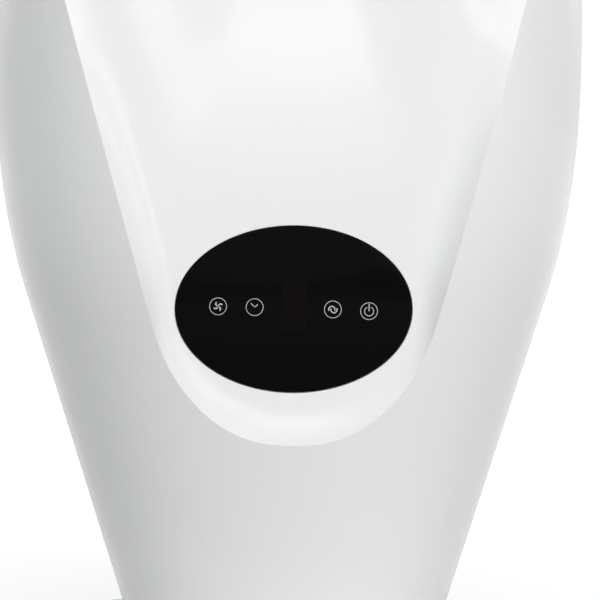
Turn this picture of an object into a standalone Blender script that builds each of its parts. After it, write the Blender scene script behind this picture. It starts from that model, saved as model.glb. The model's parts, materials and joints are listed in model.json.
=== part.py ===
"""Bladeless tower fan: a loop-shaped tower on a round base that swings from side to side.

The tower is a tapered round body under a tall loop.  A motor and a mixed-flow
impeller in the body draw air through a grille at the back and push it up into the
hollow loop, and it leaves through a thin slot round the loop's opening.

Frame: metres, +Z up, the front faces -Y.  The origin is the middle of the base, on
the floor.
"""

import math

import bmesh
import bpy
import numpy as np

# Clearances and overruns shared by every piece
FIT_GAP = 0.0003
PARTING_GAP = 0.0003
CUT_OVERRUN = 0.004
MERGE_DISTANCE = 0.000001

# Tower outline, seen from the front
TOWER_HEIGHT = 0.980
BODY_BOTTOM_Z = 0.045
BODY_BOTTOM_RADIUS = 0.0686
CONE_SLOPE = 0.3135
CONE_TOP_Z = 0.190
BODY_WIDEST_Z = 0.300
BODY_WIDEST_RADIUS = 0.1275
DOME_HEIGHT = 0.120
SHOULDER_Z = TOWER_HEIGHT - DOME_HEIGHT
SHOULDER_HALF_WIDTH = 0.092
SHOULDER_SLOPE = -0.10
DOME_POWER = 2.3

# Depth of the tower in front of and behind its parting plane
SHOULDER_FRONT_DEPTH = 0.075
SHOULDER_FRONT_SLOPE = -0.08
REAR_CONE_TOP_Z = 0.150
REAR_FULL_Z = 0.210
REAR_FULL_DEPTH = 0.108
REAR_EASE_Z = 0.290
LOOP_REAR_Z = 0.430
LOOP_REAR_DEPTH = 0.062
LOOP_REAR_SLOPE = -0.06
SHOULDER_REAR_DEPTH = 0.050
SHOULDER_REAR_SLOPE = -0.01

# Crease that bounds the front dish: a round U that opens upwards along the loop
CREASE_BOTTOM_Z = 0.1341
CREASE_ROUND_HALF_WIDTH = 0.0455
CREASE_ROUND_HEIGHT = 0.0485
CREASE_ROUND_POWER = 2.59
CREASE_SIDE_SLOPE = 0.2741
LOOP_RIM_SHARE = 0.205
CREASE_BLEND = 0.015

# Opening through the loop
OPENING_BOTTOM_Z = 0.370
OPENING_LOW_RADIUS = 0.052
LOOP_TOP_BAR = 0.075
OPENING_TOP_Z = TOWER_HEIGHT - LOOP_TOP_BAR
OPENING_HIGH_RADIUS = 0.037

# Dish floor, its wall along the crease and its roll into the opening
PANEL_PLANE_DEPTH = 0.088
DISH_STEP = 0.003
DISH_STEP_BLEND = 0.0015
DISH_WALL_WIDTH = 0.014
DISH_WALL_SHARE = 0.18
DISH_WALL_LEAST = 0.004
DISH_WALL_BLEND = 0.004
RAMP_LENGTH = 0.135
RAMP_SHARE = 0.75
RAMP_BLEND = 0.015

# Air slot: the front moulding's tail behind the rear moulding's lip
TAIL_FLARE = 0.010
TAIL_DEPTH = 0.024
TAIL_SWEEP = math.radians(60)
LIP_INSET = 0.0035
LIP_FRONT_Y = 0.004
REAR_EDGE_WIDTH = 0.018
LIP_PULL_SHARE = 0.6

# Wall thicknesses
SHELL_WALL = 0.0026
LIP_WALL = 0.0016

# Oval control panel
PANEL_Z = 0.1906
PANEL_HALF_WIDTH = 0.0497
PANEL_HALF_HEIGHT = 0.0351
PANEL_MARGIN = 0.0008
LENS_THICKNESS = 0.0015
LENS_LEDGE = 0.0035
LENS_EDGE_ROUND = 0.0004

# Sampling of the shells
RIM_ROWS = 6
SIDE_ROWS = 16
CREASE_SAMPLES = 900
CREASE_WALK_SAMPLES = 160
PANEL_EDGE_SAMPLES = 181
DISH_SAMPLES = 30
ROW_SPACING_POWER = 1.35
SEARCH_STEPS = 44

# Base
BASE_RADIUS = 0.140
BASE_EDGE_Z = 0.020
BASE_TOP_Z = 0.042
BASE_FLAT_RADIUS = 0.080
BASE_WALL = 0.003
BASE_PLATE_THICKNESS = 0.0025
FOOT_RADIUS = 0.009
FOOT_HEIGHT = 0.003
FOOT_INSET = 0.020
FOOT_CIRCLE_RADIUS = BASE_RADIUS - FOOT_INSET
FOOT_COUNT = 6
BALLAST_BORE = 0.034
BALLAST_INSET = 0.040
BALLAST_RADIUS = BASE_RADIUS - BALLAST_INSET
BALLAST_THICKNESS = 0.010
BASE_SCREW_INSET = 0.028
BASE_SCREW_CIRCLE_RADIUS = BASE_RADIUS - BASE_SCREW_INSET
BASE_SCREW_COUNT = 4
BASE_BOSS_RADIUS = 0.0038
GLAND_RADIUS = 0.005
GLAND_BORE = 0.0032
GLAND_FLANGE_RADIUS = 0.0063
GLAND_FLANGE = 0.0025
GLAND_Z = 0.013

# Swivel
SPINDLE_RADIUS = 0.014
SPINDLE_BORE = 0.009
SPINDLE_FLANGE_RADIUS = 0.030
SPINDLE_FLANGE_THICKNESS = 0.0035
WASHER_RADIUS = 0.034
WASHER_THICKNESS = 0.0015
DECK_THICKNESS = 0.008
GEAR_MODULE = 0.00125
GEAR_ADDENDUM_SHARE = 1.0
GEAR_DEDENDUM_SHARE = 1.25
GEAR_BACKLASH = 0.0004
GEAR_THICKNESS = 0.008
SUN_TEETH = 40
PINION_TEETH = 16
PRESSURE_ANGLE = math.radians(20)
NUT_RADIUS = 0.019
NUT_THICKNESS = 0.0045
PINION_SHAFT_RADIUS = 0.0025
PINION_SHAFT_LENGTH = 0.022
STEPPER_RADIUS = 0.014
STEPPER_HEIGHT = 0.019
STEPPER_LIFT = 0.003
STEPPER_EAR_REACH = 0.0175
STEPPER_EAR_RADIUS = 0.0036
STEPPER_EAR_THICKNESS = 0.001
SADDLE_WIDTH = 0.010
SADDLE_LENGTH = 0.020

# Fan unit
DUCT_INNER_RADIUS = 0.0625
DUCT_WALL = 0.0025
DUCT_FLANGE_RADIUS = 0.0705
DUCT_FLANGE_THICKNESS = 0.003
PLENUM_DECK_Z = 0.290
PLENUM_DECK_THICKNESS = 0.004
DUCT_DROP = 0.170
DUCT_BOTTOM_Z = PLENUM_DECK_Z - DUCT_DROP
DECK_ROOM = 0.0009
ISOLATOR_THICKNESS = 0.004
BELLMOUTH_HEIGHT = 0.015
BELLMOUTH_FLARE = 0.0090
HOUSING_RADIUS = 0.027
HOUSING_WALL = 0.0025
HOUSING_DROP = 0.015
HOUSING_HEIGHT = 0.075
HOUSING_TOP_Z = PLENUM_DECK_Z - HOUSING_DROP
HOUSING_BOTTOM_Z = HOUSING_TOP_Z - HOUSING_HEIGHT
HOUSING_SHAFT_HOLE = 0.006
STATOR_COUNT = 7
STATOR_INSET = 0.012
STATOR_HEIGHT = 0.050
STATOR_LOW_Z = HOUSING_BOTTOM_Z + STATOR_INSET
STATOR_HIGH_Z = STATOR_LOW_Z + STATOR_HEIGHT
STATOR_SWEEP = math.radians(-24)
STATOR_THICKNESS = 0.0024
MOTOR_RADIUS = 0.024
MOTOR_HEIGHT = 0.048
CUSHION_THICKNESS = 0.002
CUSHION_BORE = 0.010
CAP_THICKNESS = 0.003
CAP_PLUG_BORE = 0.020
SHAFT_RADIUS = 0.003
SHAFT_RISE = 0.008
SHAFT_LENGTH = 0.117
SHAFT_BOTTOM_Z = DUCT_BOTTOM_Z + SHAFT_RISE
SHAFT_TOP_Z = SHAFT_BOTTOM_Z + SHAFT_LENGTH
IMPELLER_COUNT = 9
IMPELLER_HUB_RADIUS = 0.024
IMPELLER_NOSE_RADIUS = 0.010
IMPELLER_GAP = 0.006
IMPELLER_HEIGHT = 0.060
IMPELLER_NOSE_HEIGHT = 0.026
IMPELLER_TOP_Z = HOUSING_BOTTOM_Z - IMPELLER_GAP
IMPELLER_BOTTOM_Z = IMPELLER_TOP_Z - IMPELLER_HEIGHT
IMPELLER_SHOULDER_Z = IMPELLER_BOTTOM_Z + IMPELLER_NOSE_HEIGHT
IMPELLER_TIP_GAP = 0.002
IMPELLER_BLADE_RISE = 0.012
IMPELLER_BLADE_HEIGHT = 0.042
IMPELLER_BLADE_LOW_Z = IMPELLER_BOTTOM_Z + IMPELLER_BLADE_RISE
IMPELLER_BLADE_HIGH_Z = IMPELLER_BLADE_LOW_Z + IMPELLER_BLADE_HEIGHT
IMPELLER_SWEEP = math.radians(46)
BLADE_THICKNESS = 0.0020
IMPELLER_NUT_RADIUS = 0.007
IMPELLER_NUT_HEIGHT = 0.005

# Panel electronics
TOUCH_KEY_REACHES = (-0.0317, -0.0164, 0.0164, 0.0317)
TOUCH_SPRING_RADIUS = 0.004
TOUCH_SPRING_BORE = 0.0028
BOARD_GAP_DEPTH = 0.0110
BOARD_THICKNESS = 0.0016
BOARD_INSET = 0.0045
BOARD_EAR_RADIUS = 0.0065
BOARD_SCREW_REACH = 0.0375
BOARD_SCREW_RISE = 0.0235
BOARD_BOSS_RADIUS = 0.003
DISPLAY_HALF_WIDTH = 0.0065
DISPLAY_HALF_HEIGHT = 0.0115
RECEIVER_HALF_WIDTH = 0.003
RECEIVER_HALF_HEIGHT = 0.002
RECEIVER_DROP = 0.020
MAIN_BOARD_HALF_WIDTH = 0.030
MAIN_BOARD_NEAR = 0.030
MAIN_BOARD_LENGTH = 0.024
MAIN_BOARD_LIFT = 0.0097
STANDOFF_RADIUS = 0.0026
STANDOFF_REACH = 0.022
SUPPLY_HALF_WIDTH = 0.012
SUPPLY_INSET = 0.003
SUPPLY_HEIGHT = 0.015

# Inlet grille and filter
GRILLE_HALF_WIDTH = 0.062
GRILLE_BOTTOM_Z = 0.090
GRILLE_TOP_Z = 0.205
GRILLE_CORNER = 0.012
GRILLE_GAP = 0.0005
GRILLE_BORDER = 0.008
GRILLE_SLOT = 0.0065
GRILLE_BAR = 0.0040
GRILLE_BAYS = 3
GRILLE_RIB = 0.0032
FILTER_THICKNESS = 0.005
FILTER_GAP = 0.0011
FILTER_INSET = 0.0035

# Screws that hold the rear moulding to the front moulding's bosses
BODY_SCREW_REACH = 0.095
FOOT_SCREW_REACH = 0.036
FOOT_SCREW_Z = 0.078
LOOP_SCREW_LOW_Z = 0.430
LOOP_SCREW_DROP = 0.010
LOOP_SCREW_HIGH_Z = SHOULDER_Z - LOOP_SCREW_DROP
LOOP_SCREW_REACH_SHARE = 0.72
BOSS_RADIUS = 0.0042
BOSS_SEAT_SHARE = 0.7
WELL_RADIUS = 0.0058
WELL_BORE = 0.0041
WELL_DEPTH = 0.009
WELL_FLOOR = 0.0022
SCREW_HEAD_RADIUS = 0.0034
SCREW_HEAD_HEIGHT = 0.0022
SCREW_RADIUS = 0.0014
SCREW_LENGTH = 0.014
SMALL_HEAD_RADIUS = 0.0020
SMALL_HEAD_HEIGHT = 0.0014
SMALL_SCREW_RADIUS = 0.0009
SMALL_SCREW_LENGTH = 0.008

# Sampling of the turned pieces
ROUND_SEGMENTS = 30
BASE_SEGMENTS = 36
PANEL_SEGMENTS = 32
SMALL_SEGMENTS = 8
HUB_SEGMENTS = 20
POST_SEGMENTS = 16
STEPPER_SEGMENTS = 32
SCREW_SEGMENTS = 12
FINE_SCREW_SEGMENTS = 10
SHARP_ANGLE = math.radians(35)
OUTER_COLUMNS = 5
FLOOR_COLUMNS = 1
RAMP_COLUMNS = 5
TAIL_COLUMNS = 1
DISH_WALL_SHARES = (0.45, 1.0)
REAR_COLUMNS = 7
REAR_EDGE_COLUMNS = 5
BASE_CURVE_STEPS = 4
BELLMOUTH_STEPS = 3
DECK_OUTLINE_POINTS = 56
VANE_SPAN_POINTS = 2
VANE_HEIGHT_POINTS = 4
PATCH_COLUMNS = 9
PATCH_ROWS = 4

MIDDLE_LOW_Z = OPENING_BOTTOM_Z + OPENING_LOW_RADIUS
MIDDLE_HIGH_Z = OPENING_TOP_Z - OPENING_HIGH_RADIUS


# Small numeric helpers

def smooth_step(value):
    """Return a smooth 0 to 1 ramp of value."""
    share = np.clip(value, 0.0, 1.0)
    return share * share * (3.0 - 2.0 * share)


def smooth_min(first, second, blend):
    """Return the lower of two values, rounded over where they differ by less than blend."""
    near = np.maximum(blend - np.abs(first - second), 0.0) / blend
    return np.minimum(first, second) - near * near * blend / 4.0


def rail(height, stations):
    """Return a smooth curve through stations of (height, value, slope)."""
    height = np.asarray(height, dtype=float)
    first = stations[0]
    result = first[1] + first[2] * (height - first[0])
    for (low, low_value, low_slope), (high, high_value, high_slope) in zip(stations, stations[1:]):
        span = high - low
        share = (height - low) / span
        cubic = (
            (1.0 + 2.0 * share) * (1.0 - share) ** 2 * low_value
            + share * (1.0 - share) ** 2 * span * low_slope
            + share * share * (3.0 - 2.0 * share) * high_value
            + share * share * (share - 1.0) * span * high_slope
        )
        result = np.where(height >= low, cubic, result)
        beyond = high_value + high_slope * (height - high)
        result = np.where(height >= high, beyond, result)
    return result


# Tower surfaces

def dome(height):
    """Return how much of the loop's size is left at a height in its rounded top."""
    share = np.clip((height - SHOULDER_Z) / (TOWER_HEIGHT - SHOULDER_Z), 0.0, 1.0)
    return (1.0 - share ** DOME_POWER) ** (1.0 / DOME_POWER)


def cone_radius(height):
    """Return the radius of the body's lower cone."""
    return BODY_BOTTOM_RADIUS + CONE_SLOPE * (height - BODY_BOTTOM_Z)


def half_width(height):
    """Return half the tower's width at a height."""
    stations = (
        (BODY_BOTTOM_Z, BODY_BOTTOM_RADIUS, CONE_SLOPE),
        (CONE_TOP_Z, cone_radius(CONE_TOP_Z), CONE_SLOPE),
        (BODY_WIDEST_Z, BODY_WIDEST_RADIUS, 0.0),
        (SHOULDER_Z, SHOULDER_HALF_WIDTH, SHOULDER_SLOPE),
    )
    return rail(height, stations) * dome(height)


def full_front_depth(height):
    """Return the depth of the uncut front at the tower's middle."""
    stations = (
        (BODY_BOTTOM_Z, BODY_BOTTOM_RADIUS, CONE_SLOPE),
        (CONE_TOP_Z, cone_radius(CONE_TOP_Z), CONE_SLOPE),
        (BODY_WIDEST_Z, BODY_WIDEST_RADIUS, 0.0),
        (SHOULDER_Z, SHOULDER_FRONT_DEPTH, SHOULDER_FRONT_SLOPE),
    )
    return rail(height, stations) * dome(height)


def full_rear_depth(height):
    """Return the depth of the rear skin at the tower's middle."""
    stations = (
        (BODY_BOTTOM_Z, BODY_BOTTOM_RADIUS, CONE_SLOPE),
        (REAR_CONE_TOP_Z, cone_radius(REAR_CONE_TOP_Z), CONE_SLOPE),
        (REAR_FULL_Z, REAR_FULL_DEPTH, 0.0),
        (REAR_EASE_Z, REAR_FULL_DEPTH, 0.0),
        (LOOP_REAR_Z, LOOP_REAR_DEPTH, LOOP_REAR_SLOPE),
        (SHOULDER_Z, SHOULDER_REAR_DEPTH, SHOULDER_REAR_SLOPE),
    )
    return rail(height, stations) * dome(height)


def roundness(across, height):
    """Return the share of the full depth that is left at a distance from the middle."""
    width = np.maximum(half_width(height), MERGE_DISTANCE)
    return np.sqrt(np.maximum(1.0 - (across / width) ** 2, 0.0))


def outer_front(across, height):
    """Return y of the tower's front skin outside the crease."""
    return -full_front_depth(height) * roundness(across, height)


def rear_skin(across, height):
    """Return y of the tower's rear skin."""
    return PARTING_GAP + full_rear_depth(height) * roundness(across, height)


def crease_half_width(height):
    """Return half the dish's width where the crease still follows the body."""
    rise = np.maximum(height - CREASE_BOTTOM_Z, 0.0)
    left = np.maximum(1.0 - rise / CREASE_ROUND_HEIGHT, 0.0)
    bottom = CREASE_ROUND_HALF_WIDTH * (1.0 - left * left) ** (1.0 / CREASE_ROUND_POWER)
    return bottom + CREASE_SIDE_SLOPE * rise


# Rays that leave the opening's middle line and cross opening, crease and outline

def rays_through(across, height):
    """Return start height, direction and length of the rays through points."""
    start = np.clip(height, MIDDLE_LOW_Z, MIDDLE_HIGH_Z)
    length = np.maximum(np.hypot(across, height - start), MERGE_DISTANCE)
    return start, across / length, (height - start) / length, length


def rays_at(turn):
    """Return the rays of a turn from 0, straight down, through 1 and 2 to 3, straight up."""
    turn = np.asarray(turn, dtype=float)
    start = MIDDLE_LOW_Z + np.clip(turn - 1.0, 0.0, 1.0) * (MIDDLE_HIGH_Z - MIDDLE_LOW_Z)
    angle = (np.minimum(turn, 1.0) - 1.0 + np.maximum(turn - 2.0, 0.0)) * math.pi / 2.0
    return start, np.cos(angle), np.sin(angle)


def search_reach(start, side, rise, is_inside):
    """Return how far each ray runs before it leaves a region."""
    low = np.zeros_like(start)
    high = np.full_like(start, TOWER_HEIGHT)
    for _ in range(SEARCH_STEPS):
        middle = (low + high) / 2.0
        inside = is_inside(side * middle, start + rise * middle)
        low = np.where(inside, middle, low)
        high = np.where(inside, high, middle)
    return low


def in_outline(across, height):
    """Tell which points lie inside the tower's outline."""
    within = (height >= BODY_BOTTOM_Z) & (height <= TOWER_HEIGHT)
    return within & (np.abs(across) <= half_width(height))


def in_crease(across, height):
    """Tell which points lie inside the body's part of the crease."""
    return (height >= CREASE_BOTTOM_Z) & (np.abs(across) <= crease_half_width(height))


def outline_reach(start, side, rise):
    """Return the rays' length to the tower's outline."""
    return search_reach(start, side, rise, in_outline)


def crease_reach(start, side, rise):
    """Return the rays' length to the crease."""
    outline = outline_reach(start, side, rise)
    rim = LOOP_RIM_SHARE * half_width(np.minimum(start + rise * outline, SHOULDER_Z))
    body = search_reach(start, side, rise, in_crease)
    return smooth_min(body, outline - rim, CREASE_BLEND)


def opening_reach(start):
    """Return the rays' length to the opening's narrowest line."""
    share = smooth_step((start - MIDDLE_LOW_Z) / (MIDDLE_HIGH_Z - MIDDLE_LOW_Z))
    return OPENING_LOW_RADIUS + (OPENING_HIGH_RADIUS - OPENING_LOW_RADIUS) * share


def ramp_length(start, side, rise):
    """Return the length, along each ray, of the dish's roll into the opening."""
    room = crease_reach(start, side, rise) - opening_reach(start)
    return smooth_min(np.full_like(room, RAMP_LENGTH), RAMP_SHARE * room, RAMP_BLEND)


def panel_room(across, height):
    """Return the distance from points to the edge of the oval panel."""
    angle = np.linspace(0.0, 2.0 * math.pi, PANEL_EDGE_SAMPLES)
    edge_x = PANEL_HALF_WIDTH * np.cos(angle)
    edge_z = PANEL_Z + PANEL_HALF_HEIGHT * np.sin(angle)
    return np.min(np.hypot(across[:, None] - edge_x, height[:, None] - edge_z), axis=1)


class Crease:
    """The crease as a dense line, with the dish's depth and wall width along it."""

    def __init__(self):
        turn = np.linspace(0.0, 3.0, CREASE_SAMPLES)
        turn = turn ** 2 / 3.0
        start, side, rise = rays_at(turn)
        reach = crease_reach(start, side, rise)
        room = reach - opening_reach(start)
        self.across = side * reach
        self.height = start + rise * reach
        self.depth = -outer_front(self.across, self.height)
        wall = smooth_min(panel_room(self.across, self.height) - PANEL_MARGIN,
                          np.full_like(room, DISH_WALL_WIDTH), DISH_WALL_BLEND)
        wall = smooth_min(wall, DISH_WALL_SHARE * room, DISH_WALL_BLEND)
        self.wall = np.maximum(wall, DISH_WALL_LEAST)

    def nearest(self, across, height):
        """Return the distance to the crease, and its depth and wall width there."""
        gap = np.hypot(np.abs(across)[..., None] - self.across, height[..., None] - self.height)
        index = np.argmin(gap, axis=-1)
        distance = np.take_along_axis(gap, index[..., None], axis=-1)[..., 0]
        return distance, self.depth[index], self.wall[index]


def row_turns():
    """Return the turns of the mouldings' rows: even steps round the bottom rim, then the sides."""
    rim = BODY_BOTTOM_RADIUS * np.sin(np.linspace(0.0, math.pi / 2.0, RIM_ROWS + 1))
    bottom = np.arctan2(rim, MIDDLE_LOW_Z - BODY_BOTTOM_Z) * 2.0 / math.pi
    share = np.linspace(0.0, 1.0, SIDE_ROWS + 1)[1:] ** ROW_SPACING_POWER
    return np.concatenate((bottom, bottom[-1] + (3.0 - bottom[-1]) * share))


def floor_depth(crease_depth):
    """Return the dish floor's depth for a depth of the crease beside it."""
    flat = np.full_like(crease_depth, PANEL_PLANE_DEPTH)
    return smooth_min(flat, crease_depth - DISH_STEP, DISH_STEP_BLEND)


def front_surface(crease, across, height):
    """Return y of the front moulding's outer face at points outside the opening."""
    start, side, rise, length = rays_through(across, height)
    to_crease = crease_reach(start, side, rise)
    crease_x = side * to_crease
    crease_z = start + rise * to_crease
    floor = floor_depth(-outer_front(crease_x, crease_z))
    inward = np.clip((length - opening_reach(start)) / ramp_length(start, side, rise), 0.0, 1.0)
    level = -floor * np.sqrt(1.0 - (1.0 - inward) ** 2)
    distance, near_depth, wall = crease.nearest(across, height)
    climb = np.maximum(1.0 - distance / wall, 0.0) ** 2
    dish = level - (near_depth - floor_depth(near_depth)) * climb
    return np.where(length > to_crease, outer_front(across, height), dish)


# Scene and mesh helpers

def clear_scene():
    """Remove every object that the file starts with."""
    for item in list(bpy.data.objects):
        bpy.data.objects.remove(item, do_unlink=True)


def finish_of(name, colour, roughness, metallic=0.0):
    """Return a Principled material."""
    material = bpy.data.materials.new(name)
    material.use_nodes = True
    shader = material.node_tree.nodes["Principled BSDF"]
    shader.inputs["Base Color"].default_value = (*colour, 1.0)
    shader.inputs["Roughness"].default_value = roughness
    shader.inputs["Metallic"].default_value = metallic
    return material


def white_plastic(name):
    """Return the glossy white of the casing."""
    return finish_of(name, (0.86, 0.87, 0.87), 0.25)


def black_plastic(name):
    """Return a plain black plastic."""
    return finish_of(name, (0.03, 0.03, 0.03), 0.5)


def grey_plastic(name):
    """Return the light grey of the inner mouldings."""
    return finish_of(name, (0.55, 0.56, 0.57), 0.5)


def bright_steel(name):
    """Return a bright steel."""
    return finish_of(name, (0.62, 0.62, 0.63), 0.3, 1.0)


def black_rubber(name):
    """Return a black rubber."""
    return finish_of(name, (0.02, 0.02, 0.02), 0.85)


def object_from(name, points, faces, material, smooth_angle=SHARP_ANGLE):
    """Return an object whose mesh has the given points and faces, facing out."""
    mesh = bpy.data.meshes.new(name)
    mesh.from_pydata([tuple(float(v) for v in point) for point in points], [], faces)
    work = bmesh.new()
    work.from_mesh(mesh)
    bmesh.ops.remove_doubles(work, verts=work.verts, dist=MERGE_DISTANCE)
    bmesh.ops.recalc_face_normals(work, faces=work.faces)
    work.to_mesh(mesh)
    work.free()
    mesh.shade_smooth()
    mesh.set_sharp_from_angle(angle=smooth_angle)
    item = bpy.data.objects.new(name, mesh)
    bpy.context.scene.collection.objects.link(item)
    if material is not None:
        mesh.materials.append(material)
    return item


def tube_grid(rows, closed=True):
    """Return the points and faces of rows of equal rings, open or closed along the rows."""
    count = len(rows[0])
    points = [point for row in rows for point in row]
    faces = []
    last = len(rows) if closed else len(rows) - 1
    for row in range(last):
        following = (row + 1) % len(rows)
        for column in range(count):
            beside = (column + 1) % count
            faces.append((row * count + column, row * count + beside,
                          following * count + beside, following * count + column))
    return points, faces


def turned(name, profile, material, centre=(0.0, 0.0), segments=HUB_SEGMENTS):
    """Return a closed profile of (radius, height) turned about a vertical axis."""
    mesh = bpy.data.meshes.new(name)
    work = bmesh.new()
    ring = [work.verts.new((radius, 0.0, height)) for radius, height in profile]
    edges = [work.edges.new((ring[i], ring[(i + 1) % len(ring)])) for i in range(len(ring))]
    bmesh.ops.spin(work, geom=ring + edges, cent=(0.0, 0.0, 0.0), axis=(0.0, 0.0, 1.0),
                   angle=2.0 * math.pi, steps=segments, use_merge=True)
    bmesh.ops.remove_doubles(work, verts=work.verts, dist=MERGE_DISTANCE)
    bmesh.ops.dissolve_degenerate(work, edges=work.edges, dist=MERGE_DISTANCE)
    bmesh.ops.recalc_face_normals(work, faces=work.faces)
    work.to_mesh(mesh)
    work.free()
    mesh.shade_smooth()
    mesh.set_sharp_from_angle(angle=SHARP_ANGLE)
    item = bpy.data.objects.new(name, mesh)
    item.location = (centre[0], centre[1], 0.0)
    bpy.context.scene.collection.objects.link(item)
    if material is not None:
        mesh.materials.append(material)
    return item


def disc_profile(radius, low, high, bore=0.0):
    """Return the profile of a disc, or of a ring where it has a bore."""
    return [(bore, low), (radius, low), (radius, high), (bore, high)]


def prism(name, outline, low, high, material):
    """Return an outline of (x, y) raised from one height to another."""
    count = len(outline)
    points = [(x, y, low) for x, y in outline] + [(x, y, high) for x, y in outline]
    faces = [tuple(range(count - 1, -1, -1)), tuple(range(count, 2 * count))]
    faces += [(i, (i + 1) % count, count + (i + 1) % count, count + i) for i in range(count)]
    return object_from(name, points, faces, material)


def box(name, low, high, material):
    """Return a box between two corners."""
    outline = [(low[0], low[1]), (high[0], low[1]), (high[0], high[1]), (low[0], high[1])]
    return prism(name, outline, low[2], high[2], material)


def upright(name, outline, front, back, material):
    """Return an outline of (x, z) carried from one y to another."""
    count = len(outline)
    points = [(x, front, z) for x, z in outline] + [(x, back, z) for x, z in outline]
    faces = [tuple(range(count)), tuple(range(2 * count - 1, count - 1, -1))]
    faces += [(i, (i + 1) % count, count + (i + 1) % count, count + i) for i in range(count)]
    return object_from(name, points, faces, material)


def oval(half_x, half_z, centre, segments):
    """Return the points of an oval."""
    turn = [2.0 * math.pi * i / segments for i in range(segments)]
    return [(centre[0] + half_x * math.cos(a), centre[1] + half_z * math.sin(a)) for a in turn]


def joined(name, pieces, material=None):
    """Return one object made of several pieces' meshes, and remove the pieces."""
    work = bmesh.new()
    for piece in pieces:
        copy = piece.data.copy()
        copy.transform(piece.matrix_basis)
        work.from_mesh(copy)
        bpy.data.meshes.remove(copy)
    mesh = bpy.data.meshes.new(name)
    work.to_mesh(mesh)
    work.free()
    for piece in pieces:
        bpy.data.objects.remove(piece, do_unlink=True)
    item = bpy.data.objects.new(name, mesh)
    bpy.context.scene.collection.objects.link(item)
    if material is not None:
        mesh.materials.append(material)
    return item


def boolean(item, tool, operation, solver="EXACT"):
    """Cut a tool from an object or fuse it on, and keep the tool out of sight."""
    tool.hide_render = True
    tool.display_type = "WIRE"
    modifier = item.modifiers.new(tool.name, "BOOLEAN")
    modifier.solver = solver
    modifier.operation = operation
    modifier.object = tool


def cut(item, tool, solver="EXACT"):
    """Cut a tool from an object."""
    boolean(item, tool, "DIFFERENCE", solver)


def fuse(item, tool, solver="EXACT"):
    """Fuse a tool on to an object."""
    boolean(item, tool, "UNION", solver)


# Shells

def thickened(rows, walls, name, material):
    """Return the ring-shaped moulding with its outer face on a grid of points.

    Args:
        rows: Outer points for the right half, shape (rows, columns, 3), bottom to top.
        walls: Wall thickness at each column.
        name: Node name.
        material: Material of the moulding.
    """
    grid = np.array(rows)
    along = np.empty_like(grid)
    along[1:-1] = grid[2:] - grid[:-2]
    mirror = np.array([-1.0, 1.0, 1.0])
    along[0] = grid[1] - grid[1] * mirror
    along[-1] = grid[-2] * mirror - grid[-2]
    across = np.empty_like(grid)
    across[:, 1:-1] = grid[:, 2:] - grid[:, :-2]
    across[:, 0] = grid[:, 1] - grid[:, 0]
    across[:, -1] = grid[:, -1] - grid[:, -2]
    normal = np.cross(along, across)
    normal /= np.maximum(np.linalg.norm(normal, axis=2, keepdims=True), MERGE_DISTANCE)
    middle = grid[len(grid) // 2, 0]
    if np.dot(normal[len(grid) // 2, 0], (middle[0], 0.0, 0.0)) < 0.0:
        normal = -normal
    on_rim = grid[:, 0, 2] < BODY_BOTTOM_Z + MERGE_DISTANCE
    corner = on_rim & (np.abs(grid[:, 0, 1]) < 2.0 * PARTING_GAP)
    normal[on_rim, 0, 2] = 0.0
    normal[~on_rim | corner, 0, 1] = 0.0
    normal[0, :, 0] = 0.0
    normal[-1, :, 0] = 0.0
    normal /= np.maximum(np.linalg.norm(normal, axis=2, keepdims=True), MERGE_DISTANCE)
    inner = grid - normal * np.asarray(walls)[None, :, None]
    rings = np.concatenate((grid, inner[:, ::-1]), axis=1)
    left = rings[1:-1][::-1] * mirror
    points, faces = tube_grid(np.concatenate((rings, left)))
    return object_from(name, points, faces, material)


def outline_points(start, side, rise, reach):
    """Return across and height of points along rays."""
    return side * reach, start + rise * reach


def skin_columns(start, side, rise, outline, stop, count):
    """Return across and height of points from the outline to a stop, closer at the outline."""
    stop_x, stop_z = outline_points(start, side, rise, stop)
    edge_x, edge_z = outline_points(start, side, rise, outline)
    spread = np.arccos(np.clip(stop_x / half_width(stop_z), 0.0, 1.0))
    result = []
    for index in range(count):
        share = (1.0 - np.cos(spread * index / count)) / (1.0 - np.cos(spread))
        result.append((edge_x + (stop_x - edge_x) * share, edge_z + (stop_z - edge_z) * share))
    return result


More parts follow.
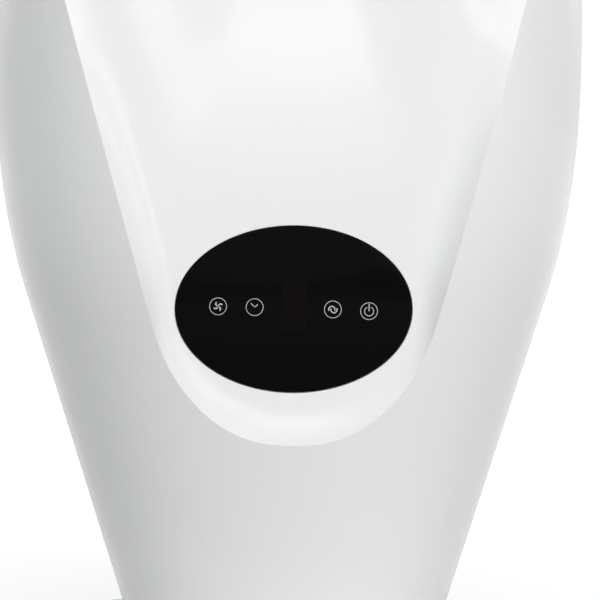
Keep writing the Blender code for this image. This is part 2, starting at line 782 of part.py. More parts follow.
def front_rows(crease, outer_count, floor_count, ramp_count, tail_count, wall_shares):
    """Return the front moulding's outer points, from outline to tail, for the right half."""
    start, side, rise = rays_at(row_turns())
    outline = outline_reach(start, side, rise)
    to_crease = crease_reach(start, side, rise)
    opening = opening_reach(start)
    ramp = ramp_length(start, side, rise)
    columns = []
    for across, height in skin_columns(start, side, rise, outline, to_crease, outer_count):
        columns.append(np.stack((across, outer_front(across, height), height), axis=1))
    on_side = columns[0][:, 2] > BODY_BOTTOM_Z + MERGE_DISTANCE
    columns[0][on_side, 1] = 0.0
    across, height = outline_points(start, side, rise, to_crease)
    columns.append(np.stack((across, outer_front(across, height), height), axis=1))
    walk = np.linspace(0.0, 1.0, CREASE_WALK_SAMPLES)
    reaches = to_crease[:, None] * (1.0 - walk) + (opening + ramp)[:, None] * walk
    walk_x = side[:, None] * reaches
    walk_z = start[:, None] + rise[:, None] * reaches
    distance, _, wall = crease.nearest(walk_x, walk_z)
    fraction = np.maximum.accumulate(distance / wall, axis=1)
    floor_start = np.empty(len(start))
    for share in wall_shares:
        reach = np.array([np.interp(share, fraction[i], reaches[i]) for i in range(len(start))])
        across, height = outline_points(start, side, rise, reach)
        columns.append(np.stack((across, front_surface(crease, across, height), height), axis=1))
        floor_start = reach
    for index in range(1, floor_count + 1):
        share = index / floor_count
        reach = floor_start * (1.0 - share) + (opening + ramp) * share
        across, height = outline_points(start, side, rise, reach)
        columns.append(np.stack((across, front_surface(crease, across, height), height), axis=1))
    for index in range(1, ramp_count + 1):
        reach = opening + ramp * (1.0 - math.sin(math.pi / 2.0 * index / ramp_count))
        across, height = outline_points(start, side, rise, reach)
        level = front_surface(crease, across, height)
        if index == ramp_count:
            level = np.zeros_like(level)
        columns.append(np.stack((across, level, height), axis=1))
    for index in range(1, tail_count + 1):
        sweep = TAIL_SWEEP * index / tail_count
        across, height = outline_points(start, side, rise, opening + TAIL_FLARE * (1.0 - math.cos(sweep)))
        level = np.full_like(across, TAIL_DEPTH * math.sin(sweep))
        columns.append(np.stack((across, level, height), axis=1))
    return np.stack(columns, axis=1)


def rear_rows(outer_count, edge_count):
    """Return the rear moulding's outer points, from outline to lip, for the right half."""
    start, side, rise = rays_at(row_turns())
    outline = outline_reach(start, side, rise)
    edge = opening_reach(start) + REAR_EDGE_WIDTH
    columns = []
    for across, height in skin_columns(start, side, rise, outline, edge, outer_count):
        columns.append(np.stack((across, rear_skin(across, height), height), axis=1))
    on_side = columns[0][:, 2] > BODY_BOTTOM_Z + MERGE_DISTANCE
    columns[0][on_side, 1] = PARTING_GAP
    across, height = outline_points(start, side, rise, edge)
    top = rear_skin(across, height)
    columns.append(np.stack((across, top, height), axis=1))
    beside_x, beside_z = outline_points(start, side, rise, edge + LIP_WALL)
    slope = (top - rear_skin(beside_x, beside_z)) / LIP_WALL
    lip = opening_reach(start) - LIP_INSET
    pull_in = LIP_PULL_SHARE * (edge - lip)
    pull_back = LIP_PULL_SHARE * (top - LIP_FRONT_Y)
    for index in range(1, edge_count + 1):
        share = index / edge_count
        first = (1.0 - share) ** 3
        second = 3.0 * share * (1.0 - share) ** 2
        third = 3.0 * share ** 2 * (1.0 - share)
        fourth = share ** 3
        reach = first * edge + second * (edge - pull_in) + (third + fourth) * lip
        level = (first * top + second * (top + slope * pull_in)
                 + third * (LIP_FRONT_Y + pull_back) + fourth * LIP_FRONT_Y)
        across, height = outline_points(start, side, rise, reach)
        columns.append(np.stack((across, level, height), axis=1))
    return np.stack(columns, axis=1)


# Repeated solids

def slab(name, front, back, material):
    """Return the closed solid between two equal grids of points."""
    front = np.asarray(front, dtype=float)
    back = np.asarray(back, dtype=float)
    rows, columns = front.shape[:2]
    points = np.concatenate((front.reshape(-1, 3), back.reshape(-1, 3)))
    shift = rows * columns
    faces = []
    for row in range(rows - 1):
        for column in range(columns - 1):
            near = row * columns + column
            quad = (near, near + 1, near + columns + 1, near + columns)
            faces.append(quad)
            faces.append(tuple(index + shift for index in reversed(quad)))
    border = [column for column in range(columns)]
    border += [row * columns + columns - 1 for row in range(1, rows)]
    border += [(rows - 1) * columns + column for column in range(columns - 2, -1, -1)]
    border += [row * columns for row in range(rows - 2, 0, -1)]
    for index, first in enumerate(border):
        second = border[(index + 1) % len(border)]
        faces.append((second, first, first + shift, second + shift))
    return object_from(name, points, faces, material)


def vane(name, span, heights, start_angle, sweep, thickness):
    """Return one twisted blade between two radii."""
    radii = np.linspace(span[0], span[1], VANE_SPAN_POINTS)
    share = np.linspace(0.0, 1.0, VANE_HEIGHT_POINTS)
    radius, rise = np.meshgrid(radii, share)
    angle = start_angle + sweep * rise
    height = heights[0] + (heights[1] - heights[0]) * rise
    middle = np.stack((radius * np.cos(angle), radius * np.sin(angle), height), axis=2)
    aside = np.stack((-np.sin(angle), np.cos(angle), np.zeros_like(angle)), axis=2) * thickness / 2.0
    return slab(name, middle + aside, middle - aside, None)


def vane_ring(name, count, span, heights, sweep, thickness):
    """Return a ring of blades as one tool."""
    blades = [
        vane(f"{name}_{index}", span, heights, 2.0 * math.pi * index / count, sweep, thickness)
        for index in range(count)
    ]
    return joined(name, blades)


def gear_outline(teeth, turn, centre):
    """Return a gear's outline with straight-flanked teeth, the first at an angle of turn."""
    pitch_radius = GEAR_MODULE * teeth / 2.0
    tip = GEAR_MODULE * GEAR_ADDENDUM_SHARE
    root = GEAR_MODULE * GEAR_DEDENDUM_SHARE
    half_tooth = math.pi * GEAR_MODULE / 4.0 - GEAR_BACKLASH / 2.0
    at_tip = (half_tooth - tip * math.tan(PRESSURE_ANGLE)) / (pitch_radius + tip)
    at_root = (half_tooth + root * math.tan(PRESSURE_ANGLE)) / (pitch_radius - root)
    points = []
    for index in range(teeth):
        middle = turn + 2.0 * math.pi * index / teeth
        corners = ((-at_root, pitch_radius - root), (-at_tip, pitch_radius + tip),
                   (at_tip, pitch_radius + tip), (at_root, pitch_radius - root))
        for shift, radius in corners:
            points.append((centre[0] + radius * math.cos(middle + shift),
                           centre[1] + radius * math.sin(middle + shift)))
    return points


def rod_y(name, centre, near, far, radius, segments=SMALL_SEGMENTS):
    """Return a cylinder that runs along Y between two depths, as a tool."""
    outline = oval(radius, radius, centre, segments)
    return upright(name, outline, near, far, None)


def post(name, centre, low, high, radius, segments=SMALL_SEGMENTS):
    """Return an upright cylinder as a tool."""
    return turned(name, disc_profile(radius, low, high), None, centre, segments)


def screw_profile(head_radius, head_height, radius, length):
    """Return a screw's profile, its tip up, its head's top at zero."""
    return [(0.0, 0.0), (head_radius, 0.0), (head_radius, head_height),
            (radius, head_height), (radius, head_height + length), (0.0, head_height + length)]


# Base

def base_curve():
    """Return the base cover's outer profile from its rim to its flat top."""
    points = [(BASE_RADIUS, FOOT_HEIGHT + FIT_GAP)]
    for index in range(BASE_CURVE_STEPS + 1):
        turn = math.pi / 2.0 * index / BASE_CURVE_STEPS
        radius = BASE_FLAT_RADIUS + (BASE_RADIUS - BASE_FLAT_RADIUS) * math.cos(turn)
        height = BASE_EDGE_Z + (BASE_TOP_Z - BASE_EDGE_Z) * math.sin(turn)
        points.append((radius, height))
    return points


def base_height_at(radius):
    """Return the height of the base cover's outer face at a radius."""
    share = max((radius - BASE_FLAT_RADIUS) / (BASE_RADIUS - BASE_FLAT_RADIUS), 0.0)
    return BASE_EDGE_Z + (BASE_TOP_Z - BASE_EDGE_Z) * math.sqrt(1.0 - share * share)


def plate_top():
    """Return the height of the base plate's upper face."""
    return FOOT_HEIGHT + FIT_GAP + BASE_PLATE_THICKNESS


def ring_places(count, radius, turn=0.0):
    """Return places spaced evenly round the tower's axis."""
    return [
        (radius * math.cos(turn + 2.0 * math.pi * i / count),
         radius * math.sin(turn + 2.0 * math.pi * i / count))
        for i in range(count)
    ]


def base_screw_places():
    """Return the places of the screws under the base."""
    return ring_places(BASE_SCREW_COUNT, BASE_SCREW_CIRCLE_RADIUS, math.pi / BASE_SCREW_COUNT)


def build_base_cover():
    """Build the domed cover of the base, with its screw bosses and the cord's hole."""
    outer = base_curve()
    inner_flat = BASE_TOP_Z - BASE_WALL
    inner = []
    for radius, height in outer[1:]:
        share = (radius - BASE_FLAT_RADIUS) / (BASE_RADIUS - BASE_FLAT_RADIUS)
        lift = (height - BASE_EDGE_Z) / (BASE_TOP_Z - BASE_EDGE_Z)
        inner.append((radius - BASE_WALL * share, BASE_EDGE_Z + (inner_flat - BASE_EDGE_Z) * lift))
    bore = SPINDLE_RADIUS + FIT_GAP
    profile = outer + [(bore, BASE_TOP_Z), (bore, inner_flat)] + inner[::-1]
    profile += [(BASE_RADIUS - BASE_WALL, outer[0][1])]
    cover = turned("base_cover", profile, white_plastic("base_white"), segments=BASE_SEGMENTS)
    bosses = []
    for index, place in enumerate(base_screw_places()):
        top = base_height_at(BASE_SCREW_CIRCLE_RADIUS) - BASE_WALL * BOSS_SEAT_SHARE
        bosses.append(post(f"base_boss_{index}", place, plate_top() + FIT_GAP, top, BASE_BOSS_RADIUS))
    fuse(cover, joined("base_bosses", bosses))
    pilots = []
    for index, place in enumerate(base_screw_places()):
        pilots.append(post(f"base_pilot_{index}", place, plate_top() - CUT_OVERRUN,
                           plate_top() + SCREW_LENGTH / 2.0 + FIT_GAP, SCREW_RADIUS + FIT_GAP))
    cut(cover, joined("base_pilots", pilots))
    hole = rod_y("gland_hole", (0.0, GLAND_Z), BASE_RADIUS - BASE_WALL - CUT_OVERRUN,
                 BASE_RADIUS + CUT_OVERRUN, GLAND_RADIUS + FIT_GAP, HUB_SEGMENTS)
    cut(cover, hole)
    return cover


def build_base_plate():
    """Build the plate under the base, with holes for its screws and the spindle."""
    low = FOOT_HEIGHT + FIT_GAP
    plate = turned("base_plate", disc_profile(BASE_RADIUS - BASE_WALL - FIT_GAP, low, plate_top(),
                                              SPINDLE_BORE),
                   black_plastic("base_plate_black"), segments=BASE_SEGMENTS)
    holes = [
        post(f"plate_hole_{index}", place, low - CUT_OVERRUN, plate_top() + CUT_OVERRUN,
             SCREW_RADIUS + FIT_GAP)
        for index, place in enumerate(base_screw_places())
    ]
    cut(plate, joined("plate_holes", holes))
    return plate


def build_base_inside():
    """Build the ballast, feet, screws and gland of the base."""
    low = plate_top() + FIT_GAP
    turned("ballast_plate", disc_profile(BALLAST_RADIUS, low, low + BALLAST_THICKNESS, BALLAST_BORE),
           finish_of("ballast_steel", (0.20, 0.20, 0.21), 0.6, 1.0), segments=ROUND_SEGMENTS)
    for index, place in enumerate(ring_places(FOOT_COUNT, FOOT_CIRCLE_RADIUS)):
        turned(f"foot_{index + 1}", disc_profile(FOOT_RADIUS, 0.0, FOOT_HEIGHT),
               black_rubber(f"foot_rubber_{index + 1}"), place, POST_SEGMENTS)
    head_low = FOOT_HEIGHT - SCREW_HEAD_HEIGHT
    profile = screw_profile(SCREW_HEAD_RADIUS, SCREW_HEAD_HEIGHT, SCREW_RADIUS, SCREW_LENGTH / 2.0)
    for index, place in enumerate(base_screw_places()):
        screw = turned(f"base_screw_{index + 1}", profile, bright_steel(f"base_screw_steel_{index + 1}"),
                       place, SMALL_SEGMENTS)
        screw.location.z = head_low
    flange = BASE_WALL + FIT_GAP
    profile = [(GLAND_BORE, 0.0), (GLAND_RADIUS, 0.0), (GLAND_RADIUS, flange),
               (GLAND_FLANGE_RADIUS, flange), (GLAND_FLANGE_RADIUS, flange + GLAND_FLANGE),
               (GLAND_BORE, flange + GLAND_FLANGE)]
    gland = turned("cord_gland", profile, black_rubber("gland_rubber"), segments=POST_SEGMENTS)
    gland.rotation_euler = (math.pi / 2.0, 0.0, 0.0)
    gland.location = (0.0, BASE_RADIUS - 2.0 * FIT_GAP, GLAND_Z)


# Swivel

def washer_top():
    """Return the height of the thrust washer's upper face."""
    return BASE_TOP_Z + FIT_GAP + WASHER_THICKNESS


def deck_top():
    """Return the height of the swivel deck's upper face."""
    return washer_top() + FIT_GAP + DECK_THICKNESS


def gear_centre():
    """Return how far the pinion's axis stands in front of the tower's axis."""
    return GEAR_MODULE * (SUN_TEETH + PINION_TEETH) / 2.0


def stepper_low():
    """Return the height of the stepper motor's lower face."""
    return deck_top() + FIT_GAP + GEAR_THICKNESS + STEPPER_LIFT


def spindle_top():
    """Return the height of the spindle's upper end."""
    return deck_top() + FIT_GAP + GEAR_THICKNESS + FIT_GAP + NUT_THICKNESS + FIT_GAP


def build_spindle():
    """Build the fixed spindle, its washer, its gear and the nut that keeps the tower on."""
    low = plate_top() + FIT_GAP
    profile = [(SPINDLE_BORE, low), (SPINDLE_FLANGE_RADIUS, low),
               (SPINDLE_FLANGE_RADIUS, low + SPINDLE_FLANGE_THICKNESS),
               (SPINDLE_RADIUS, low + SPINDLE_FLANGE_THICKNESS),
               (SPINDLE_RADIUS, spindle_top()), (SPINDLE_BORE, spindle_top())]
    turned("spindle_tube", profile, bright_steel("spindle_steel"), segments=HUB_SEGMENTS)
    bore = SPINDLE_RADIUS + FIT_GAP
    turned("thrust_washer", disc_profile(WASHER_RADIUS, BASE_TOP_Z + FIT_GAP, washer_top(), bore),
           finish_of("washer_nylon", (0.75, 0.74, 0.70), 0.4), segments=HUB_SEGMENTS)
    low = deck_top() + FIT_GAP
    gear = prism("sun_gear", gear_outline(SUN_TEETH, -math.pi / 2.0, (0.0, 0.0)), low,
                 low + GEAR_THICKNESS, finish_of("sun_nylon", (0.80, 0.79, 0.74), 0.45))
    cut(gear, post("sun_bore", (0.0, 0.0), low - CUT_OVERRUN, low + GEAR_THICKNESS + CUT_OVERRUN,
                   bore, STEPPER_SEGMENTS))
    low += GEAR_THICKNESS + FIT_GAP
    turned("spindle_nut", disc_profile(NUT_RADIUS, low, low + NUT_THICKNESS, bore),
           bright_steel("nut_steel"), segments=HUB_SEGMENTS)


def build_pinion():
    """Build the pinion with its shaft, on the stepper motor's axis."""
    centre = (0.0, -gear_centre())
    low = deck_top() + FIT_GAP
    turn = math.pi / 2.0 + math.pi / PINION_TEETH
    pinion = prism("pinion", gear_outline(PINION_TEETH, turn, (0.0, 0.0)), low,
                   low + GEAR_THICKNESS, finish_of("pinion_acetal", (0.85, 0.85, 0.82), 0.4))
    pinion.location = (centre[0], centre[1], 0.0)
    fuse(pinion, post("pinion_shaft", centre, low + GEAR_THICKNESS / 2.0, low + PINION_SHAFT_LENGTH,
                      PINION_SHAFT_RADIUS, POST_SEGMENTS))


def stepper_ears():
    """Return the places of the stepper motor's two screws."""
    return [(-STEPPER_EAR_REACH, -gear_centre()), (STEPPER_EAR_REACH, -gear_centre())]


def build_stepper():
    """Build the stepper motor that swings the tower, and its two screws."""
    centre = (0.0, -gear_centre())
    low = stepper_low()
    motor = turned("stepper_motor", disc_profile(STEPPER_RADIUS, low, low + STEPPER_HEIGHT),
                   finish_of("stepper_steel", (0.62, 0.63, 0.64), 0.35, 1.0), centre, STEPPER_SEGMENTS)
    half_x = STEPPER_EAR_REACH + STEPPER_EAR_RADIUS
    plate = box("stepper_plate", (-half_x, centre[1] - STEPPER_EAR_RADIUS, low),
                (half_x, centre[1] + STEPPER_EAR_RADIUS, low + STEPPER_EAR_THICKNESS), None)
    fuse(motor, plate)
    top = deck_top() + FIT_GAP + PINION_SHAFT_LENGTH + FIT_GAP
    cut(motor, post("stepper_bore", centre, low - CUT_OVERRUN, top, PINION_SHAFT_RADIUS + FIT_GAP,
                    POST_SEGMENTS))
    holes = [post(f"ear_hole_{i}", place, low - CUT_OVERRUN, low + CUT_OVERRUN, SCREW_RADIUS + FIT_GAP)
             for i, place in enumerate(stepper_ears())]
    cut(motor, joined("ear_holes", holes))
    length = SCREW_LENGTH / 2.0
    profile = screw_profile(SMALL_HEAD_RADIUS, -SMALL_HEAD_HEIGHT, SCREW_RADIUS, -length)
    head = low + STEPPER_EAR_THICKNESS + FIT_GAP + SMALL_HEAD_HEIGHT
    for index, place in enumerate(stepper_ears()):
        screw = turned(f"stepper_screw_{index + 1}", profile,
                       bright_steel(f"stepper_screw_steel_{index + 1}"), place, SMALL_SEGMENTS)
        screw.location.z = head


def board_posts():
    """Return the places of the posts under the main board."""
    depth = MAIN_BOARD_NEAR + MAIN_BOARD_LENGTH / 2.0
    return [(-STANDOFF_REACH, depth), (STANDOFF_REACH, depth)]


def build_swivel_deck():
    """Build the tower's bottom deck, with posts for the stepper motor, board and shells."""
    low = washer_top() + FIT_GAP
    profile = disc_profile(BODY_BOTTOM_RADIUS - SHELL_WALL - DECK_ROOM, low, deck_top(),
                           SPINDLE_RADIUS + FIT_GAP)
    deck = turned("swivel_deck", profile, grey_plastic("deck_grey"), segments=ROUND_SEGMENTS)
    bottom = deck_top() - DECK_THICKNESS / 2.0
    posts = [post(f"stepper_post_{i}", place, bottom, stepper_low() - FIT_GAP, STEPPER_EAR_RADIUS)
             for i, place in enumerate(stepper_ears())]
    posts += [post(f"board_post_{i}", place, bottom, deck_top() + MAIN_BOARD_LIFT - FIT_GAP, STANDOFF_RADIUS)
              for i, place in enumerate(board_posts())]
    saddle_top = FOOT_SCREW_Z - BOSS_RADIUS - FIT_GAP
    for side in (-1.0, 1.0):
        middle = side * FOOT_SCREW_REACH
        posts.append(box(f"saddle_{side}", (middle - SADDLE_WIDTH / 2.0, -SADDLE_LENGTH / 2.0, bottom),
                         (middle + SADDLE_WIDTH / 2.0, SADDLE_LENGTH / 2.0, saddle_top), None))
    fuse(deck, joined("deck_posts", posts))
    length = SCREW_LENGTH / 2.0 + FIT_GAP
    pilots = [post(f"deck_pilot_{i}", place, stepper_low() - length, stepper_low() + CUT_OVERRUN,
                   SCREW_RADIUS + FIT_GAP)
              for i, place in enumerate(stepper_ears())]
    cut(deck, joined("deck_pilots", pilots))


def build_main_board():
    """Build the main board on the deck and the power supply block on it."""
    low = deck_top() + MAIN_BOARD_LIFT
    box("main_board", (-MAIN_BOARD_HALF_WIDTH, MAIN_BOARD_NEAR, low),
        (MAIN_BOARD_HALF_WIDTH, MAIN_BOARD_NEAR + MAIN_BOARD_LENGTH, low + BOARD_THICKNESS),
        finish_of("board_green", (0.03, 0.22, 0.10), 0.5))
    low += BOARD_THICKNESS + FIT_GAP
    box("power_supply_block", (-SUPPLY_HALF_WIDTH, MAIN_BOARD_NEAR + SUPPLY_INSET, low),
        (SUPPLY_HALF_WIDTH, MAIN_BOARD_NEAR + MAIN_BOARD_LENGTH - SUPPLY_INSET, low + SUPPLY_HEIGHT),
        black_plastic("supply_black"))


# Fan unit

def isolator_top():
    """Return the height of the isolator ring's upper face."""
    return PLENUM_DECK_Z + PLENUM_DECK_THICKNESS + FIT_GAP + ISOLATOR_THICKNESS


def duct_top():
    """Return the height of the fan duct's upper face."""
    return isolator_top() + FIT_GAP + DUCT_FLANGE_THICKNESS


def build_plenum_deck(crease):
    """Build the deck across the body that carries the fan and closes off the loop's air."""
    low = PLENUM_DECK_Z
    high = low + PLENUM_DECK_THICKNESS
    room = SHELL_WALL + DECK_ROOM
    wide = min(float(half_width(low)), float(half_width(high))) - room - DECK_ROOM
    front = min(float(full_front_depth(low)), float(full_front_depth(high))) - room
    rear = min(float(full_rear_depth(low)), float(full_rear_depth(high))) - room - 2.0 * DECK_ROOM
    across = np.linspace(0.0, float(crease_half_width(low)), DISH_SAMPLES)
    heights = np.full_like(across, high)
    dish = float(np.max(front_surface(crease, across, heights))) + room + DECK_ROOM
    outline = []
    for index in range(DECK_OUTLINE_POINTS):
        turn = 2.0 * math.pi * index / DECK_OUTLINE_POINTS
        x = wide * math.cos(turn)
        y = (rear if math.sin(turn) > 0.0 else front) * math.sin(turn)
        outline.append((x, max(y, dish)))
    deck = prism("plenum_deck", outline, low, high, grey_plastic("plenum_grey"))
    cut(deck, post("plenum_hole", (0.0, 0.0), low - CUT_OVERRUN, high + CUT_OVERRUN,
                   DUCT_INNER_RADIUS + DUCT_WALL + 2.0 * FIT_GAP, ROUND_SEGMENTS))


def build_fan_duct():
    """Build the fan duct with its stator vanes and motor housing, as one moulding."""
    outer = DUCT_INNER_RADIUS + DUCT_WALL
    profile = [(DUCT_INNER_RADIUS, DUCT_BOTTOM_Z), (outer, DUCT_BOTTOM_Z),
               (outer, isolator_top() + FIT_GAP), (DUCT_FLANGE_RADIUS, isolator_top() + FIT_GAP),
               (DUCT_FLANGE_RADIUS, duct_top()), (DUCT_INNER_RADIUS, duct_top())]
    duct = turned("fan_duct", profile, grey_plastic("duct_grey"), segments=ROUND_SEGMENTS)
    inner = HOUSING_RADIUS - HOUSING_WALL
    housing = turned("motor_housing", [
        (HOUSING_SHAFT_HOLE, HOUSING_BOTTOM_Z), (HOUSING_RADIUS, HOUSING_BOTTOM_Z),
        (HOUSING_RADIUS, HOUSING_TOP_Z), (inner, HOUSING_TOP_Z),
        (inner, HOUSING_BOTTOM_Z + HOUSING_WALL), (HOUSING_SHAFT_HOLE, HOUSING_BOTTOM_Z + HOUSING_WALL),
    ], None, segments=HUB_SEGMENTS)
    span = (HOUSING_RADIUS - HOUSING_WALL / 2.0, DUCT_INNER_RADIUS + DUCT_WALL / 2.0)
    vanes = vane_ring("stator_vanes", STATOR_COUNT, span, (STATOR_LOW_Z, STATOR_HIGH_Z), STATOR_SWEEP,
                      STATOR_THICKNESS)
    fuse(vanes, housing)
    fuse(duct, vanes)
    outer = DUCT_FLANGE_RADIUS
    low = PLENUM_DECK_Z + PLENUM_DECK_THICKNESS + FIT_GAP
    turned("isolator_ring", disc_profile(outer, low, isolator_top(), DUCT_INNER_RADIUS + DUCT_WALL + FIT_GAP),
           black_rubber("isolator_rubber"), segments=ROUND_SEGMENTS)


def build_bellmouth():
    """Build the flared inlet under the fan duct."""
    top = DUCT_BOTTOM_Z - FIT_GAP
    inner = []
    for index in range(BELLMOUTH_STEPS + 1):
        turn = math.pi / 2.0 * index / BELLMOUTH_STEPS
        inner.append((DUCT_INNER_RADIUS + BELLMOUTH_FLARE * (1.0 - math.cos(turn)),
                      top - BELLMOUTH_HEIGHT * math.sin(turn)))
    outer = [(radius + DUCT_WALL, height) for radius, height in inner]
    turned("inlet_bellmouth", inner + outer[::-1], grey_plastic("bellmouth_grey"),
           segments=ROUND_SEGMENTS)


def build_motor():
    """Build the fan motor, the cushion under it and the cap over it."""
    low = HOUSING_BOTTOM_Z + HOUSING_WALL + FIT_GAP
    radius = HOUSING_RADIUS - HOUSING_WALL - 2.0 * FIT_GAP
    turned("motor_cushion", disc_profile(radius, low, low + CUSHION_THICKNESS, CUSHION_BORE),
           black_rubber("cushion_rubber"), segments=HUB_SEGMENTS)
    low += CUSHION_THICKNESS + FIT_GAP
    turned("fan_motor", disc_profile(min(MOTOR_RADIUS, radius), low, low + MOTOR_HEIGHT,
                                     SHAFT_RADIUS + FIT_GAP),
           finish_of("motor_steel", (0.45, 0.46, 0.48), 0.35, 1.0), segments=HUB_SEGMENTS)
    low += MOTOR_HEIGHT + FIT_GAP
    seat = HOUSING_TOP_Z + FIT_GAP
    profile = [(0.0, seat), (CAP_PLUG_BORE, seat), (CAP_PLUG_BORE, low), (radius, low), (radius, seat),
               (HOUSING_RADIUS, seat), (HOUSING_RADIUS, seat + CAP_THICKNESS), (0.0, seat + CAP_THICKNESS)]
    turned("motor_cap", profile, grey_plastic("cap_grey"), segments=HUB_SEGMENTS)


def build_rotor():
    """Build the impeller, its shaft and its nut."""
    turned("impeller_shaft", disc_profile(SHAFT_RADIUS, SHAFT_BOTTOM_Z, SHAFT_TOP_Z),
           bright_steel("shaft_steel"), segments=POST_SEGMENTS)
    bore = SHAFT_RADIUS + FIT_GAP
    hub = turned("impeller", [
        (bore, IMPELLER_BOTTOM_Z), (IMPELLER_NOSE_RADIUS, IMPELLER_BOTTOM_Z),
        (IMPELLER_HUB_RADIUS, IMPELLER_SHOULDER_Z), (IMPELLER_HUB_RADIUS, IMPELLER_TOP_Z),
        (bore, IMPELLER_TOP_Z),
    ], finish_of("impeller_black", (0.05, 0.05, 0.055), 0.4), segments=HUB_SEGMENTS)
    span = (IMPELLER_NOSE_RADIUS + BLADE_THICKNESS, DUCT_INNER_RADIUS - IMPELLER_TIP_GAP)
    blades = vane_ring("impeller_blades", IMPELLER_COUNT, span,
                       (IMPELLER_BLADE_LOW_Z, IMPELLER_BLADE_HIGH_Z), IMPELLER_SWEEP, BLADE_THICKNESS)
    fuse(hub, blades)
    top = IMPELLER_BOTTOM_Z - FIT_GAP
    turned("impeller_nut", disc_profile(IMPELLER_NUT_RADIUS, top - IMPELLER_NUT_HEIGHT, top, bore),
           bright_steel("impeller_nut_steel"), segments=SCREW_SEGMENTS)


# Front moulding with its panel

def screw_places():
    """Return the places, across and height, of the screws through the rear moulding."""
    places = []
    body_z = PLENUM_DECK_Z - FIT_GAP - WELL_RADIUS
    heights = np.array([LOOP_SCREW_LOW_Z, LOOP_SCREW_HIGH_Z])
    start, side, rise = heights, np.ones(2), np.zeros(2)
    opening = opening_reach(start)
    reach = opening + LOOP_SCREW_REACH_SHARE * (crease_reach(start, side, rise) - opening)
    for mirror in (-1.0, 1.0):
        places.append((mirror * FOOT_SCREW_REACH, FOOT_SCREW_Z))
        places.append((mirror * BODY_SCREW_REACH, body_z))
        places += [(mirror * float(x), float(z)) for x, z in zip(reach, heights)]
    return places


def board_places():
    """Return the places, across and height, of the touch board's screws."""
    return [(x, PANEL_Z + z) for x in (-BOARD_SCREW_REACH, BOARD_SCREW_REACH)
            for z in (-BOARD_SCREW_RISE, BOARD_SCREW_RISE)]


def well_floor(place):
    """Return y of the outer face of a screw well's floor."""
    return float(rear_skin(place[0], place[1])) - WELL_DEPTH


def board_front():
    """Return y of the touch board's front face."""
    return BOARD_GAP_DEPTH - PANEL_PLANE_DEPTH


def boss(name, crease, place, back, radius):
    """Return a post from inside the front wall back to a depth, its end along the wall."""
    edge = oval(radius, radius, place, SMALL_SEGMENTS)
    ring = np.array(edge + [place])
    level = front_surface(crease, ring[:, 0], ring[:, 1]) + BOSS_SEAT_SHARE * SHELL_WALL
    points = [(x, y, z) for (x, z), y in zip(ring, level)]
    points += [(x, back, z) for x, z in edge]
    count = len(edge)
    faces = [(i, (i + 1) % count, count) for i in range(count)]
    faces += [(i, i + count + 1, (i + 1) % count + count + 1, (i + 1) % count) for i in range(count)]
    faces.append(tuple(range(2 * count, count, -1)))
    return object_from(name, points, faces, None)


def build_front_shell(crease):
    """Build the front moulding with its screw bosses and the panel's recess."""
    rows = front_rows(crease, OUTER_COLUMNS, FLOOR_COLUMNS, RAMP_COLUMNS, TAIL_COLUMNS, DISH_WALL_SHARES)
    walls = np.full(rows.shape[1], SHELL_WALL)
    walls[-2:] = LIP_WALL
    shell = thickened(rows, walls, "front_shell", white_plastic("shell_white"))
    bosses = []
    pilots = []
    for index, place in enumerate(screw_places()):
        back = well_floor(place) - WELL_FLOOR - FIT_GAP
        bosses.append(boss(f"boss_{index}", crease, place, back, BOSS_RADIUS))
        pilots.append(rod_y(f"pilot_{index}", place, back - SCREW_LENGTH, back + CUT_OVERRUN,
                            SCREW_RADIUS + FIT_GAP))
    for index, place in enumerate(board_places()):
        back = board_front() - FIT_GAP
        bosses.append(boss(f"board_boss_{index}", crease, place, back, BOARD_BOSS_RADIUS))
        pilots.append(rod_y(f"board_pilot_{index}", place, back - SMALL_SCREW_LENGTH + BOARD_THICKNESS,
                            back + CUT_OVERRUN, SMALL_SCREW_RADIUS + FIT_GAP, FINE_SCREW_SEGMENTS))
    fuse(shell, joined("shell_bosses", bosses), "MANIFOLD")
    cut(shell, joined("shell_pilots", pilots), "MANIFOLD")
    centre = (0.0, PANEL_Z)
    recess = oval(PANEL_HALF_WIDTH + FIT_GAP, PANEL_HALF_HEIGHT + FIT_GAP, centre, PANEL_SEGMENTS)
    cut(shell, upright("panel_recess", recess, -PANEL_PLANE_DEPTH - CUT_OVERRUN,
                       LENS_THICKNESS + FIT_GAP - PANEL_PLANE_DEPTH, None), "MANIFOLD")
    window = oval(PANEL_HALF_WIDTH - LENS_LEDGE, PANEL_HALF_HEIGHT - LENS_LEDGE, centre, PANEL_SEGMENTS)
    cut(shell, upright("panel_window", window, -PANEL_PLANE_DEPTH - CUT_OVERRUN,
                       SHELL_WALL + CUT_OVERRUN / 2.0 - PANEL_PLANE_DEPTH, None), "MANIFOLD")


